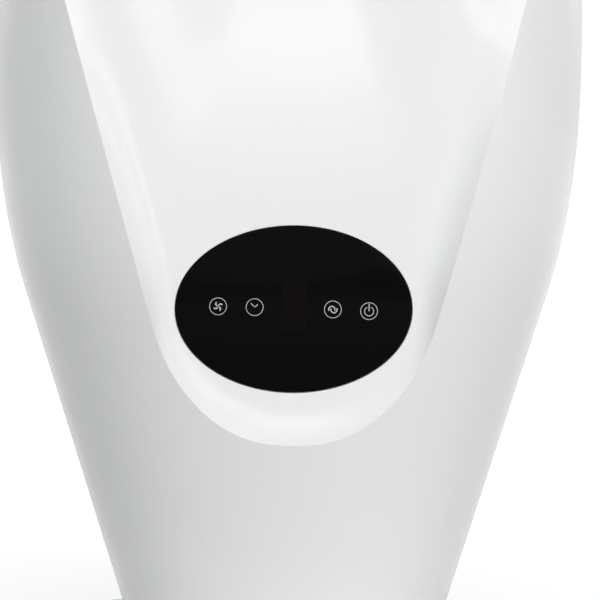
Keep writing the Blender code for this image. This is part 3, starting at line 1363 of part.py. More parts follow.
def build_panel():
    """Build the oval lens, its touch board and what stands between them."""
    centre = (0.0, PANEL_Z)
    levels = ((-LENS_EDGE_ROUND, 0.0), (0.0, LENS_EDGE_ROUND), (0.0, LENS_THICKNESS))
    rings = []
    for grow, depth in levels:
        ring = oval(PANEL_HALF_WIDTH + grow, PANEL_HALF_HEIGHT + grow, centre, PANEL_SEGMENTS)
        rings.append([(x, depth - PANEL_PLANE_DEPTH, z) for x, z in ring])
    points, faces = tube_grid(rings, closed=False)
    count = len(rings[0])
    faces += [tuple(range(count)), tuple(range(3 * count - 1, 2 * count - 1, -1))]
    object_from("panel_lens", points, faces, finish_of("lens_black", (0.004, 0.004, 0.005), 0.06))
    front = board_front()
    board = upright("touch_board", oval(PANEL_HALF_WIDTH - BOARD_INSET, PANEL_HALF_HEIGHT - BOARD_INSET,
                                        centre, PANEL_SEGMENTS),
                    front, front + BOARD_THICKNESS, finish_of("touch_board_green", (0.03, 0.20, 0.10), 0.5))
    ears = [rod_y(f"board_ear_{i}", place, front, front + BOARD_THICKNESS, BOARD_EAR_RADIUS)
            for i, place in enumerate(board_places())]
    fuse(board, joined("board_ears", ears))
    holes = [rod_y(f"board_hole_{i}", place, front - CUT_OVERRUN, front + BOARD_THICKNESS + CUT_OVERRUN,
                   SMALL_SCREW_RADIUS + FIT_GAP, FINE_SCREW_SEGMENTS)
             for i, place in enumerate(board_places())]
    cut(board, joined("board_holes", holes))
    back_of_lens = LENS_THICKNESS - PANEL_PLANE_DEPTH + FIT_GAP
    profile = disc_profile(TOUCH_SPRING_RADIUS, 0.0, front - FIT_GAP - back_of_lens, TOUCH_SPRING_BORE)
    for index, reach in enumerate(TOUCH_KEY_REACHES):
        spring = turned(f"touch_spring_{index + 1}", profile, bright_steel(f"touch_spring_steel_{index + 1}"),
                        segments=SCREW_SEGMENTS)
        spring.rotation_euler = (math.pi / 2.0, 0.0, 0.0)
        spring.location = (reach, front - FIT_GAP, PANEL_Z)
    box("display_module", (-DISPLAY_HALF_WIDTH, back_of_lens, PANEL_Z - DISPLAY_HALF_HEIGHT),
        (DISPLAY_HALF_WIDTH, front - FIT_GAP, PANEL_Z + DISPLAY_HALF_HEIGHT),
        finish_of("display_grey", (0.25, 0.25, 0.26), 0.4))
    low = PANEL_Z - RECEIVER_DROP
    box("ir_receiver", (-RECEIVER_HALF_WIDTH, back_of_lens, low - RECEIVER_HALF_HEIGHT),
        (RECEIVER_HALF_WIDTH, front - FIT_GAP, low + RECEIVER_HALF_HEIGHT), black_plastic("receiver_black"))
    profile = screw_profile(SMALL_HEAD_RADIUS, SMALL_HEAD_HEIGHT, SMALL_SCREW_RADIUS, SMALL_SCREW_LENGTH)
    for index, place in enumerate(board_places()):
        screw = turned(f"board_screw_{index + 1}", profile, bright_steel(f"board_screw_steel_{index + 1}"),
                       segments=FINE_SCREW_SEGMENTS)
        screw.rotation_euler = (math.pi / 2.0, 0.0, 0.0)
        screw.location = (place[0], front + BOARD_THICKNESS + FIT_GAP + SMALL_HEAD_HEIGHT, place[1])


# Rear moulding with its grille

def rounded_frame(half_x, low, high, corner, steps=4):
    """Return the outline of a rounded rectangle in across and height."""
    points = []
    centres = ((half_x - corner, high - corner), (corner - half_x, high - corner),
               (corner - half_x, low + corner), (half_x - corner, low + corner))
    for quarter, (x, z) in enumerate(centres):
        for step in range(steps + 1):
            turn = math.pi / 2.0 * (quarter + step / steps)
            points.append((x + corner * math.cos(turn), z + corner * math.sin(turn)))
    return points


def rear_patch(name, half_x, low, high, near, far, material):
    """Return a patch of the rear skin between two depths below its outer face."""
    across, height = np.meshgrid(np.linspace(-half_x, half_x, PATCH_COLUMNS),
                                 np.linspace(low, high, PATCH_ROWS))
    step = GRILLE_GAP
    level = rear_skin(across, height)
    slope_x = (rear_skin(across + step, height) - rear_skin(across - step, height)) / (2.0 * step)
    slope_z = (rear_skin(across, height + step) - rear_skin(across, height - step)) / (2.0 * step)
    normal = np.stack((-slope_x, np.ones_like(level), -slope_z), axis=2)
    normal /= np.linalg.norm(normal, axis=2, keepdims=True)
    skin = np.stack((across, level, height), axis=2)
    return slab(name, skin - normal * near, skin - normal * far, material)


def trimmed(item, outline):
    """Keep only the part of an object behind the tower that lies inside an outline."""
    tool = upright(f"{item.name}_trim", outline, 0.0, 2.0 * REAR_FULL_DEPTH, None)
    boolean(item, tool, "INTERSECT")


def grille_slots():
    """Return the boxes that cut the grille's slots."""
    low = GRILLE_BOTTOM_Z + GRILLE_BORDER
    high = GRILLE_TOP_Z - GRILLE_BORDER
    pitch = GRILLE_SLOT + GRILLE_BAR
    count = int((high - low + GRILLE_BAR) / pitch)
    start = (low + high - count * pitch + GRILLE_BAR) / 2.0
    clear = 2.0 * (GRILLE_HALF_WIDTH - GRILLE_BORDER)
    bay = (clear - (GRILLE_BAYS - 1) * GRILLE_RIB) / GRILLE_BAYS
    slots = []
    for row in range(count):
        bottom = start + row * pitch
        for index in range(GRILLE_BAYS):
            left = -clear / 2.0 + index * (bay + GRILLE_RIB)
            slots.append(box(f"slot_{row}_{index}", (left, GRILLE_GAP, bottom),
                             (left + bay, 2.0 * REAR_FULL_DEPTH, bottom + GRILLE_SLOT), None))
    return joined("grille_slots", slots)


def build_inlet_cover():
    """Build the pull-off inlet grille and the filter pad clipped behind it."""
    spread = GRILLE_BORDER / 2.0
    grille = rear_patch("inlet_grille", GRILLE_HALF_WIDTH + spread, GRILLE_BOTTOM_Z - spread,
                        GRILLE_TOP_Z + spread, 0.0, SHELL_WALL, white_plastic("grille_white"))
    trimmed(grille, rounded_frame(GRILLE_HALF_WIDTH, GRILLE_BOTTOM_Z, GRILLE_TOP_Z, GRILLE_CORNER))
    cut(grille, grille_slots())
    near = SHELL_WALL + FILTER_GAP
    inset = FILTER_INSET
    pad = rear_patch("inlet_filter", GRILLE_HALF_WIDTH + spread, GRILLE_BOTTOM_Z - spread,
                     GRILLE_TOP_Z + spread, near, near + FILTER_THICKNESS,
                     finish_of("filter_grey", (0.35, 0.36, 0.37), 0.95))
    trimmed(pad, rounded_frame(GRILLE_HALF_WIDTH - inset, GRILLE_BOTTOM_Z + inset, GRILLE_TOP_Z - inset,
                               GRILLE_CORNER))


def build_rear_shell():
    """Build the rear moulding with its screw wells and the grille's opening."""
    rows = rear_rows(REAR_COLUMNS, REAR_EDGE_COLUMNS)
    walls = np.full(rows.shape[1], SHELL_WALL)
    walls[-4:] = LIP_WALL
    shell = thickened(rows, walls, "rear_shell", white_plastic("rear_white"))
    towers = []
    bores = []
    for index, place in enumerate(screw_places()):
        floor = well_floor(place)
        edge = oval(WELL_RADIUS, WELL_RADIUS, place, SMALL_SEGMENTS)
        ring = np.array(edge + [place])
        level = rear_skin(ring[:, 0], ring[:, 1]) - BOSS_SEAT_SHARE * SHELL_WALL
        count = len(edge)
        points = [(x, y, z) for (x, z), y in zip(ring, level)]
        points += [(x, floor - WELL_FLOOR, z) for x, z in edge]
        faces = [(i, (i + 1) % count, count) for i in range(count)]
        faces += [(i, i + count + 1, (i + 1) % count + count + 1, (i + 1) % count) for i in range(count)]
        faces.append(tuple(range(2 * count, count, -1)))
        towers.append(object_from(f"well_{index}", points, faces, None))
        bores.append(rod_y(f"well_bore_{index}", place, floor, floor + 3.0 * WELL_DEPTH, WELL_BORE))
    fuse(shell, joined("screw_wells", towers), "MANIFOLD")
    cut(shell, joined("well_bores", bores), "MANIFOLD")
    holes = [rod_y(f"well_hole_{i}", place, well_floor(place) - 2.0 * WELL_FLOOR,
                   well_floor(place) + WELL_FLOOR, SCREW_RADIUS + FIT_GAP)
             for i, place in enumerate(screw_places())]
    cut(shell, joined("well_holes", holes), "MANIFOLD")
    outline = rounded_frame(GRILLE_HALF_WIDTH + GRILLE_GAP, GRILLE_BOTTOM_Z - GRILLE_GAP,
                            GRILLE_TOP_Z + GRILLE_GAP, GRILLE_CORNER + GRILLE_GAP)
    cut(shell, upright("grille_opening", outline, GRILLE_GAP, 2.0 * REAR_FULL_DEPTH, None), "MANIFOLD")


def build_shell_screws():
    """Build the screws that join the two mouldings."""
    profile = screw_profile(SCREW_HEAD_RADIUS, SCREW_HEAD_HEIGHT, SCREW_RADIUS, SCREW_LENGTH)
    for index, place in enumerate(screw_places()):
        screw = turned(f"shell_screw_{index + 1}", profile, bright_steel(f"shell_screw_steel_{index + 1}"),
                       segments=SMALL_SEGMENTS)
        screw.rotation_euler = (math.pi / 2.0, 0.0, 0.0)
        screw.location = (place[0], well_floor(place) + FIT_GAP + SCREW_HEAD_HEIGHT, place[1])


def main():
    """Build the whole fan."""
    clear_scene()
    crease = Crease()
    build_base_cover()
    build_base_plate()
    build_base_inside()
    build_spindle()
    build_pinion()
    build_stepper()
    build_swivel_deck()
    build_main_board()
    build_plenum_deck(crease)
    build_fan_duct()
    build_bellmouth()
    build_motor()
    build_rotor()
    build_front_shell(crease)
    build_panel()
    build_inlet_cover()
    build_rear_shell()
    build_shell_screws()


if __name__ == "__main__":
    main()
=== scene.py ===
"""Looks of the bladeless tower fan: fine shells, the oval touch panel, the grille, the base and the studio.

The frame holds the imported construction.  This script hides its coarse outer pieces behind fine ones of
the same form, gives every piece its finish, and sets the studio and the camera.
"""

import json
import logging
import math
from collections.abc import Callable, Iterable, Iterator
from contextlib import contextmanager
from dataclasses import dataclass
from enum import Enum

import bpy
import numpy as np
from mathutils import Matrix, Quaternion, Vector


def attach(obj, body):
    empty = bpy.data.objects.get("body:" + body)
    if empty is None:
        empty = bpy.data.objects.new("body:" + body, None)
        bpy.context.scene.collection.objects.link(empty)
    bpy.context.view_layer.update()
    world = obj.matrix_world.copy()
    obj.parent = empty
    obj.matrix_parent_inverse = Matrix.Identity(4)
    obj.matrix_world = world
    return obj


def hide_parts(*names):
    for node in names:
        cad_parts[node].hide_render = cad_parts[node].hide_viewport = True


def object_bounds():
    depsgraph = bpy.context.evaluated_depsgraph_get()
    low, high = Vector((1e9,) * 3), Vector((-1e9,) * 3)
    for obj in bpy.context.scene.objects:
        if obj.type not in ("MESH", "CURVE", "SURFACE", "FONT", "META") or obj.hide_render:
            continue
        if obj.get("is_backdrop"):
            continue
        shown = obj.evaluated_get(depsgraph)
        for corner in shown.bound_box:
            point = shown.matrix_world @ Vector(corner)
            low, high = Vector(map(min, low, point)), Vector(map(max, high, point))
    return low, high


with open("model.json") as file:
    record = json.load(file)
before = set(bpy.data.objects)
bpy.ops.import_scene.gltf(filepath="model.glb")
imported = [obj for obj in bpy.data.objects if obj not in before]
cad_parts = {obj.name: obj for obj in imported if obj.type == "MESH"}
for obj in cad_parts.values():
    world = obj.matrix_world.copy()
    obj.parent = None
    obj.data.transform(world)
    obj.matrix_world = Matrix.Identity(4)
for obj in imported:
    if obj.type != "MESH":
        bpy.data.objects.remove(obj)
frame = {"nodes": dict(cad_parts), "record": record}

LOG = logging.getLogger("fan")
MERGE = 0.000001
FIT_GAP = 0.0003
OVERRUN = 0.004
ZERO = (0.0, 0.0, 0.0)
ONES = (1.0, 1.0, 1.0)
LYING = (math.pi / 2.0, 0.0, 0.0)

Array = np.ndarray
Piece = bpy.types.Object
Socket = bpy.types.NodeSocket
Colour = tuple[float, float, float]
Point = tuple[float, float, float]
Spot = tuple[float, float]
Span = tuple[float, float]
Noise = tuple[float, float]
Arc = tuple[Spot, float, float, float]
Station = tuple[float, float, float]


class Body(Enum):
    """The bodies of the frame that new pieces ride on."""

    BASE = "base"
    TOWER = "tower"
    INLET_COVER = "inlet_cover"


class Slot(Enum):
    """The record's material slots."""

    CASING = "casing_white"
    BLACK_PLASTIC = "black_plastic"
    GREY_PLASTIC = "grey_plastic"
    RUBBER = "black_rubber"
    STEEL = "bright_steel"
    MOTOR = "motor_steel"
    BALLAST = "ballast_iron"
    NYLON = "nylon"
    BOARD = "board_green"
    DISPLAY = "display_grey"
    FILTER = "filter_grey"
    LENS = "lens_black"


class Join(Enum):
    """How tools are joined with a piece."""

    ADD = "UNION"
    CUT = "DIFFERENCE"
    KEEP = "INTERSECT"


class Solver(Enum):
    """How a join is worked out: CLOSED for the two mouldings, ANY for all else."""

    CLOSED = "MANIFOLD"
    ANY = "EXACT"


# Finishes

class NodeBench:
    """A node tree, with short calls that add nodes and join them."""

    def __init__(self, tree: bpy.types.NodeTree) -> None:
        """Take up a node tree."""
        self.tree = tree

    def feed(self, node: bpy.types.Node, **values: object) -> bpy.types.Node:
        """Give a node's inputs their values, or join other nodes' outputs to them.

        Args:
            node: The node.
            **values: Values or outputs, by the input's name with _ for its spaces, or by _ and its number.

        Returns:
            The same node.
        """
        for name, value in values.items():
            socket = node.inputs[int(name[1:]) if name[1:].isdigit() else name.replace("_", " ")]
            if isinstance(value, Socket):
                self.tree.links.new(value, socket)
            else:
                socket.default_value = value
        return node

    def add(self, kind: str, settings: dict[str, str] | None = None, **values: object) -> bpy.types.Node:
        """Add a node.

        Args:
            kind: Blender's name of the node's type, without its ShaderNode start.
            settings: Its named options.
            **values: Its inputs.

        Returns:
            The new node.
        """
        node = self.tree.nodes.new(f"ShaderNode{kind}")
        for name, value in (settings or {}).items():
            setattr(node, name, value)
        return self.feed(node, **values)

    def place(self, stretch: Point = ONES) -> Socket:
        """Return the object's own coordinates, stretched along its axes."""
        source = self.add("TexCoord").outputs["Object"]
        return self.add("Mapping", Vector=source, Scale=stretch).outputs["Vector"]

    def noise(self, place: Socket, scale: float, detail: float) -> Socket:
        """Return a soft noise of a scale, from 0 to 1."""
        return self.add("TexNoise", Vector=place, Scale=scale, Detail=detail).outputs["Fac"]

    def ramp(self, share: Socket, values: Span, reach: Span = (0.0, 1.0), kind: str = "LINEAR") -> Socket:
        """Return a value carried between two values as a share goes through its reach."""
        inputs = {"From_Min": reach[0], "From_Max": reach[1], "To_Min": values[0], "To_Max": values[1]}
        return self.add("MapRange", {"interpolation_type": kind}, Value=share, **inputs).outputs["Result"]

    def blend(self, share: Socket, low: Colour, high: Colour) -> Socket:
        """Return a colour between two, by a share."""
        return self.add("MixRGB", Fac=share, Color1=(*low, 1.0), Color2=(*high, 1.0)).outputs["Color"]

    def bump(self, height: Socket, depth: float, strength: float = 1.0) -> Socket:
        """Return normals bent by a height that is worth a depth in metres."""
        return self.add("Bump", Height=height, Distance=depth, Strength=strength).outputs["Normal"]

    def seen(self) -> Socket:
        """Tell the rays from the camera, and the mirrored and refracted ones, from the light's.

        Returns:
            1 for the former and 0 for the latter.
        """
        path = self.add("LightPath").outputs
        share = path["Is Camera Ray"]
        for ray in ("Is Glossy Ray", "Is Transmission Ray"):
            share = self.add("Math", {"operation": "MAXIMUM"}, _0=share, _1=path[ray]).outputs[0]
        return share


class MaterialBench(NodeBench):
    """A new material's node tree, with its Principled shader."""

    def __init__(self, name: str) -> None:
        """Start a material.

        Args:
            name: Its name.
        """
        self.material = bpy.data.materials.new(name)
        self.material.use_nodes = True
        super().__init__(self.material.node_tree)
        self.shader = self.tree.nodes["Principled BSDF"]


def shade(colour: Colour, factor: float) -> Colour:
    """Return a colour made lighter or darker by a factor."""
    return tuple(min(channel * factor, 1.0) for channel in colour)


@dataclass(frozen=True)
class Grained:
    """A finish of one stuff: cloud varies its tone, grain its gloss, and relief its skin."""

    colour: Colour = (0.5, 0.5, 0.5)
    gloss: Span = (0.5, 0.5)
    tones: Span = (1.0, 1.0)
    bloom: Colour | None = None
    cloud: Noise = (40.0, 3.0)
    grain: Noise = (40.0, 3.0)
    relief: Noise | None = None
    depth: float = 0.0
    strength: float = 1.0
    specular: float = 0.5
    metallic: float = 0.0
    stretch: Point = ONES

    def build(self, name: str) -> bpy.types.Material:
        """Build the finish as a material.

        Args:
            name: Name of the material.

        Returns:
            The material.
        """
        bench = MaterialBench(name)
        place = bench.place(self.stretch)
        dark, light = (shade(self.colour, tone) for tone in self.tones)
        grain = bench.noise(place, *self.grain)
        bench.feed(bench.shader, Roughness=bench.ramp(grain, self.gloss), Metallic=self.metallic,
                   Base_Color=bench.blend(bench.noise(place, *self.cloud), dark, self.bloom or light),
                   Specular_IOR_Level=self.specular)
        if self.depth:
            relief = bench.noise(place, *self.relief) if self.relief else grain
            bench.feed(bench.shader, Normal=bench.bump(relief, self.depth, self.strength))
        return bench.material


@dataclass(frozen=True)
class GlossPlastic(Grained):
    """A glossy moulded plastic: even colour, a faint orange peel and a few dull patches."""

    colour: Colour = (0.805, 0.805, 0.806)
    gloss: Span = (0.21, 0.29)
    tones: Span = (0.985, 1.0)
    cloud: Noise = (9.0, 2.0)
    grain: Noise = (34.0, 3.0)
    relief: Noise = (260.0, 1.0)
    depth: float = 0.000006
    specular: float = 0.20


@dataclass(frozen=True)
class SatinPlastic(Grained):
    """A satin moulded plastic with a fine spark-eroded grain."""

    colour: Colour = (0.55, 0.56, 0.57)
    gloss: Span = (0.44, 0.60)
    tones: Span = (0.93, 1.05)
    grain: Noise = (1500.0, 4.0)
    depth: float = 0.00002
    strength: float = 0.6


@dataclass(frozen=True)
class Rubber(Grained):
    """A matt rubber with a dusty bloom."""

    colour: Colour = (0.022, 0.022, 0.023)
    gloss: Span = (0.72, 0.92)
    bloom: Colour = (0.05, 0.05, 0.05)
    cloud: Noise = (60.0, 5.0)
    grain: Noise = (900.0, 3.0)
    depth: float = 0.00004
    strength: float = 0.5
    specular: float = 0.3


@dataclass(frozen=True)
class DrawnMetal(Grained):
    """A drawn or turned metal whose fine lines run across the stretched direction."""

    colour: Colour = (0.62, 0.62, 0.63)
    gloss: Span = (0.20, 0.40)
    tones: Span = (0.85, 1.08)
    cloud: Noise = (220.0, 3.0)
    grain: Noise = (220.0, 3.0)
    depth: float = 0.000008
    metallic: float = 1.0
    stretch: Point = (1.0, 1.0, 40.0)


@dataclass(frozen=True)
class PaintedIron(Grained):
    """A cast iron plate under black paint, with a coarse skin."""

    colour: Colour = (0.045, 0.046, 0.05)
    gloss: Span = (0.45, 0.7)
    tones: Span = (0.7, 1.6)
    cloud: Noise = (320.0, 6.0)
    grain: Noise = (320.0, 6.0)
    depth: float = 0.0002
    strength: float = 0.5


@dataclass(frozen=True)
class PanelGloss(Grained):
    """The touch panel's deep black: a hard, glossy sheet printed black on its back."""

    colour: Colour = (0.0010, 0.0010, 0.0011)
    gloss: Span = (0.07, 0.12)
    tones: Span = (1.0, 1.35)
    cloud: Noise = (26.0, 3.0)
    grain: Noise = (26.0, 3.0)
    specular: float = 0.03


@dataclass(frozen=True)
class PanelInk(Grained):
    """A light ink printed in thin lines, slightly worn."""

    colour: Colour = (0.46, 0.46, 0.46)
    tones: Span = (0.9, 1.1)
    cloud: Noise = (700.0, 3.0)
    specular: float = 0.2


@dataclass(frozen=True)
class Celled:
    """A finish of small cells, with a line of another colour where they meet."""

    cell: Colour
    line: Colour
    cell_size: float
    line_reach: Span
    roughness: float
    depth: float
    metric: str = "EUCLIDEAN"

    def build(self, name: str) -> bpy.types.Material:
        """Build the finish as a material.

        Args:
            name: Name of the material.

        Returns:
            The material.
        """
        bench = MaterialBench(name)
        cells = bench.add("TexVoronoi", {"feature": "DISTANCE_TO_EDGE", "distance": self.metric},
                          Vector=bench.place(), Scale=1.0 / self.cell_size)
        line = bench.ramp(cells.outputs["Distance"], (1.0, 0.0), self.line_reach)
        bench.feed(bench.shader, Base_Color=bench.blend(line, self.cell, self.line),
                   Roughness=self.roughness, Normal=bench.bump(line, self.depth))
        return bench.material


@dataclass(frozen=True)
class CircuitBoard(Celled):
    """A green solder mask over copper tracks."""

    cell: Colour = (0.012, 0.13, 0.05)
    line: Colour = (0.03, 0.24, 0.09)
    cell_size: float = 0.0022 / 0.35
    line_reach: Span = (0.04, 0.09)
    roughness: float = 0.38
    depth: float = 0.00005
    metric: str = "CHEBYCHEV"


@dataclass(frozen=True)
class Foam(Celled):
    """An open grey filter foam: light struts, with painted shade in the pores between them."""

    # painted shade: the pores' near black stands for the shade deep inside the open foam
    cell: Colour = (0.02, 0.02, 0.02)
    line: Colour = (0.16, 0.165, 0.17)
    cell_size: float = 0.0011
    line_reach: Span = (0.0, 0.22)
    roughness: float = 0.95
    depth: float = 0.0005


FINISHES = {
    Slot.CASING: GlossPlastic(),
    Slot.BLACK_PLASTIC: SatinPlastic((0.030, 0.030, 0.031), (0.42, 0.58)),
    Slot.GREY_PLASTIC: SatinPlastic(),
    Slot.RUBBER: Rubber(),
    Slot.STEEL: DrawnMetal(),
    Slot.MOTOR: DrawnMetal((0.50, 0.51, 0.53), (0.26, 0.46), cloud=(160.0, 3.0), grain=(160.0, 3.0),
                           stretch=(1.0, 1.0, 30.0)),
    Slot.BALLAST: PaintedIron(),
    Slot.NYLON: SatinPlastic((0.80, 0.79, 0.74), (0.38, 0.54)),
    Slot.BOARD: CircuitBoard(),
    Slot.DISPLAY: SatinPlastic((0.25, 0.25, 0.26), (0.32, 0.48)),
    Slot.FILTER: Foam(),
    Slot.LENS: PanelGloss(),
}
PRINT_INK = PanelInk()
WINDOW_TINT = PanelGloss((0.0027, 0.0015, 0.0016), (0.10, 0.15))


class Wardrobe:
    """The finishes as materials, each built once and shared by all that wear it."""

    def __init__(self) -> None:
        """Build the materials of all slots, and the two of the panel's print."""
        self.materials = {slot: finish.build(slot.value) for slot, finish in FINISHES.items()}
        self.ink = PRINT_INK.build("panel_ink")
        self.tint = WINDOW_TINT.build("display_tint")

    def dress_nodes(self) -> None:
        """Give every node of the construction the finish of its slot."""
        for row in frame["record"]["subparts"]:
            for place in frame["nodes"][row["node"]].material_slots:
                place.material = self.materials[Slot(row["material_slot"])]

    def finish(self, piece: Piece, body: Body, slot: Slot, *nodes: str,
               material: bpy.types.Material | None = None) -> None:
        """Dress a new piece, let it ride on its body and let it stand for its nodes.

        Args:
            piece: The new piece.
            body: The body that it rides on.
            slot: The record's material slot.
            *nodes: The construction's nodes that it stands for.
            material: A material of its own, in place of the slot's.
        """
        piece.data.materials.clear()
        piece.data.materials.append(material or self.materials[slot])
        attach(piece, body.value)
        if nodes:
            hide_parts(*nodes)
        piece.data.calc_loop_triangles()
        LOG.info("%s: %d triangles", piece.name, len(piece.data.loop_triangles))

    def finish_copies(self, pattern: Piece, places: Iterable[Point], body: Body, slot: Slot,
                      names: tuple[str, str]) -> None:
        """Copy a piece to places, finish each copy for its numbered node, and remove the pattern.

        Args:
            pattern: The piece.
            places: Where the copies stand.
            body: The body that they ride on.
            slot: The record's material slot.
            names: The copies' name and the nodes' name, both before their number.
        """
        for number, place in enumerate(places, 1):
            twin = copied(pattern, f"{names[0]}_{number}", place)
            smooth(twin)
            self.finish(twin, body, slot, f"{names[1]}_{number}")
        bpy.data.objects.remove(pattern, do_unlink=True)


# Modelling helpers

def only(*pieces: Piece) -> None:
    """Select pieces and nothing else.

    Args:
        *pieces: The pieces, with the one that gets active first.
    """
    bpy.ops.object.select_all(action="DESELECT")
    for piece in pieces:
        piece.select_set(True)
    bpy.context.view_layer.objects.active = pieces[0]


def named(piece: Piece, name: str) -> Piece:
    """Name a piece and its mesh, and set its place, turn and scale into the mesh.

    Args:
        piece: The piece.
        name: The name.

    Returns:
        The same piece.
    """
    piece.name = name
    piece.data.name = name
    only(piece)
    bpy.ops.object.transform_apply(location=True, rotation=True, scale=True)
    return piece


def placed(piece: Piece, name: str, place: Point = ZERO, turn: Point = ZERO, scale: Point = ONES) -> Piece:
    """Name a piece, and scale, turn and move its mesh."""
    piece.location, piece.rotation_euler, piece.scale = place, turn, scale
    return named(piece, name)


def copied(piece: Piece, name: str, offset: Point = ZERO) -> Piece:
    """Copy a piece with its mesh.

    Args:
        piece: The piece.
        name: The copy's name.
        offset: How far the copy is moved.

    Returns:
        The copy.
    """
    twin = piece.copy()
    twin.data = piece.data.copy()
    bpy.context.scene.collection.objects.link(twin)
    return placed(twin, name, offset)


def smooth(piece: Piece, angle: float = math.radians(30)) -> None:
    """Shade a piece smooth, with edges past an angle kept sharp."""
    only(piece)
    bpy.ops.object.shade_smooth_by_angle(angle=angle)


def applied(piece: Piece, kind: str, **values: object) -> Piece:
    """Add a modifier to a piece, set it and apply it.

    Args:
        piece: The piece.
        kind: The modifier's type.
        **values: The modifier's settings.

    Returns:
        The same piece.
    """
    only(piece)
    bpy.ops.object.modifier_add(type=kind)
    modifier = piece.modifiers[-1]
    for name, value in values.items():
        setattr(modifier, name, value)
    bpy.ops.object.modifier_apply(modifier=modifier.name)
    return piece


def bevelled(piece: Piece, width: float, segments: int, angle: float = math.radians(40)) -> Piece:
    """Round a piece's edges past an angle."""
    return applied(piece, "BEVEL", width=width, segments=segments, limit_method="ANGLE", angle_limit=angle,
                   use_clamp_overlap=True)


def merged(pieces: list[Piece], name: str) -> Piece:
    """Join several pieces' meshes into one piece.

    Args:
        pieces: The pieces.
        name: Name of the joined piece.

    Returns:
        The joined piece.
    """
    only(*pieces)
    if len(pieces) > 1:
        bpy.ops.object.join()
    return named(pieces[0], name)


def combine(piece: Piece, join: Join, tools: list[Piece], solver: Solver = Solver.ANY) -> None:
    """Join tools with a piece, and remove them.

    Args:
        piece: The piece that changes.
        join: Whether the tools are added, cut away or kept.
        tools: The tools.
        solver: How the join is worked out.
    """
    tool = merged(tools, "tools")
    applied(piece, "BOOLEAN", object=tool, operation=join.value, solver=solver.value)
    bpy.data.objects.remove(tool, do_unlink=True)


def rod(name: str, centre: Point, radius: float, length: float, turn: Point = ZERO,
        segments: int = 48) -> Piece:
    """Return a cylinder about a centre, upright unless it is turned."""
    bpy.ops.mesh.primitive_cylinder_add(vertices=segments, radius=radius, depth=length, location=centre,
                                        rotation=turn)
    return named(bpy.context.active_object, name)


def pin(place: Spot, near: float, far: float, radius: float, segments: int) -> Piece:
    """Return a cylinder along Y, at its across and height, between two depths."""
    return rod("pin", (place[0], (near + far) / 2.0, place[1]), radius, far - near, LYING, segments)


def meshed(name: str, points: list[Point], faces: list[tuple[int, ...]]) -> Piece:
    """Make a new piece of points and faces.

    Args:
        name: Name of the piece.
        points: Its points.
        faces: The numbers of each face's points.

    Returns:
        The piece.
    """
    mesh = bpy.data.meshes.new(name)
    mesh.from_pydata(points, [], faces)
    piece = bpy.data.objects.new(name, mesh)
    bpy.context.scene.collection.objects.link(piece)
    return piece


@contextmanager
def editing(piece: Piece) -> Iterator[None]:
    """Edit a piece with all of it selected, and leave it with its faces turned out.

    Args:
        piece: The piece.

    Yields:
        Nothing, once the piece is in edit mode.
    """
    only(piece)
    bpy.ops.object.mode_set(mode="EDIT")
    bpy.ops.mesh.select_all(action="SELECT")
    yield
    bpy.ops.mesh.select_all(action="SELECT")
    bpy.ops.mesh.normals_make_consistent(inside=False)
    bpy.ops.object.mode_set(mode="OBJECT")


def spun(name: str, profile: list[Spot], segments: int) -> Piece:
    """Draw a profile from a single point by extruding it, and spin it round the upright axis.

    Args:
        name: Name of the new piece.
        profile: Closed profile as (radius, height).
        segments: Steps round the axis.

    Returns:
        The new piece.
    """
    bpy.ops.mesh.primitive_plane_add(size=FIT_GAP, location=(profile[0][0], 0.0, profile[0][1]))
    piece = named(bpy.context.active_object, name)
    with editing(piece):
        bpy.ops.mesh.merge(type="CENTER")
        for (near, low), (far, high) in zip(profile, profile[1:] + profile[:1]):
            step = (far - near, 0.0, high - low)
            bpy.ops.mesh.extrude_region_move(TRANSFORM_OT_translate={"value": step})
        bpy.ops.mesh.select_all(action="SELECT")
        bpy.ops.mesh.remove_doubles(threshold=MERGE)
        bpy.ops.mesh.spin(steps=segments, angle=2.0 * math.pi, center=ZERO, axis=(0.0, 0.0, 1.0))
        bpy.ops.mesh.select_all(action="SELECT")
        bpy.ops.mesh.remove_doubles(threshold=MERGE)
        bpy.ops.mesh.dissolve_degenerate(threshold=MERGE)
    return piece


def skinned(name: str, rings: Array) -> Piece:
    """Make the closed form whose skin runs over rows of equal rings, and back to the first row.

    Args:
        name: Name of the new piece.
        rings: Points of shape (rows, points in a ring, 3).

    Returns:
        The new piece.
    """
    rows, count = rings.shape[:2]
    faces = []
    for row in range(rows):
        near = row * count
        far = (row + 1) % rows * count
        faces += [(near + i, near + (i + 1) % count, far + (i + 1) % count, far + i) for i in range(count)]
    piece = meshed(name, rings.reshape(-1, 3).tolist(), faces)
    with editing(piece):
        bpy.ops.mesh.remove_doubles(threshold=MERGE)
    return piece


def plate_of(name: str, outline: list[Spot], near: float, far: float) -> Piece:
    """Carry an outline along Y from one depth to another.

    Args:
        name: Name of the new piece.
        outline: Points of (across, height).
        near: The first depth.
        far: The second depth.

    Returns:
        The new piece.
    """
    piece = meshed(name, [(x, near, z) for x, z in outline], [tuple(range(len(outline)))])
    with editing(piece):
        bpy.ops.mesh.extrude_region_move(TRANSFORM_OT_translate={"value": (0.0, far - near, 0.0)})
    return piece


def oval(half_x: float, half_z: float, middle_z: float, count: int) -> list[Spot]:
    """Return the outline of an oval on the tower's middle line, in across and height."""
    turns = [2.0 * math.pi * i / count for i in range(count)]
    return [(half_x * math.cos(a), middle_z + half_z * math.sin(a)) for a in turns]


def arc(centre: Spot, radius: float, first: float, last: float, steps: int) -> list[Spot]:
    """Return points on an arc between two angles in degrees."""
    turns = [math.radians(first + (last - first) * step / steps) for step in range(steps + 1)]
    return [(centre[0] + radius * math.cos(a), centre[1] + radius * math.sin(a)) for a in turns]


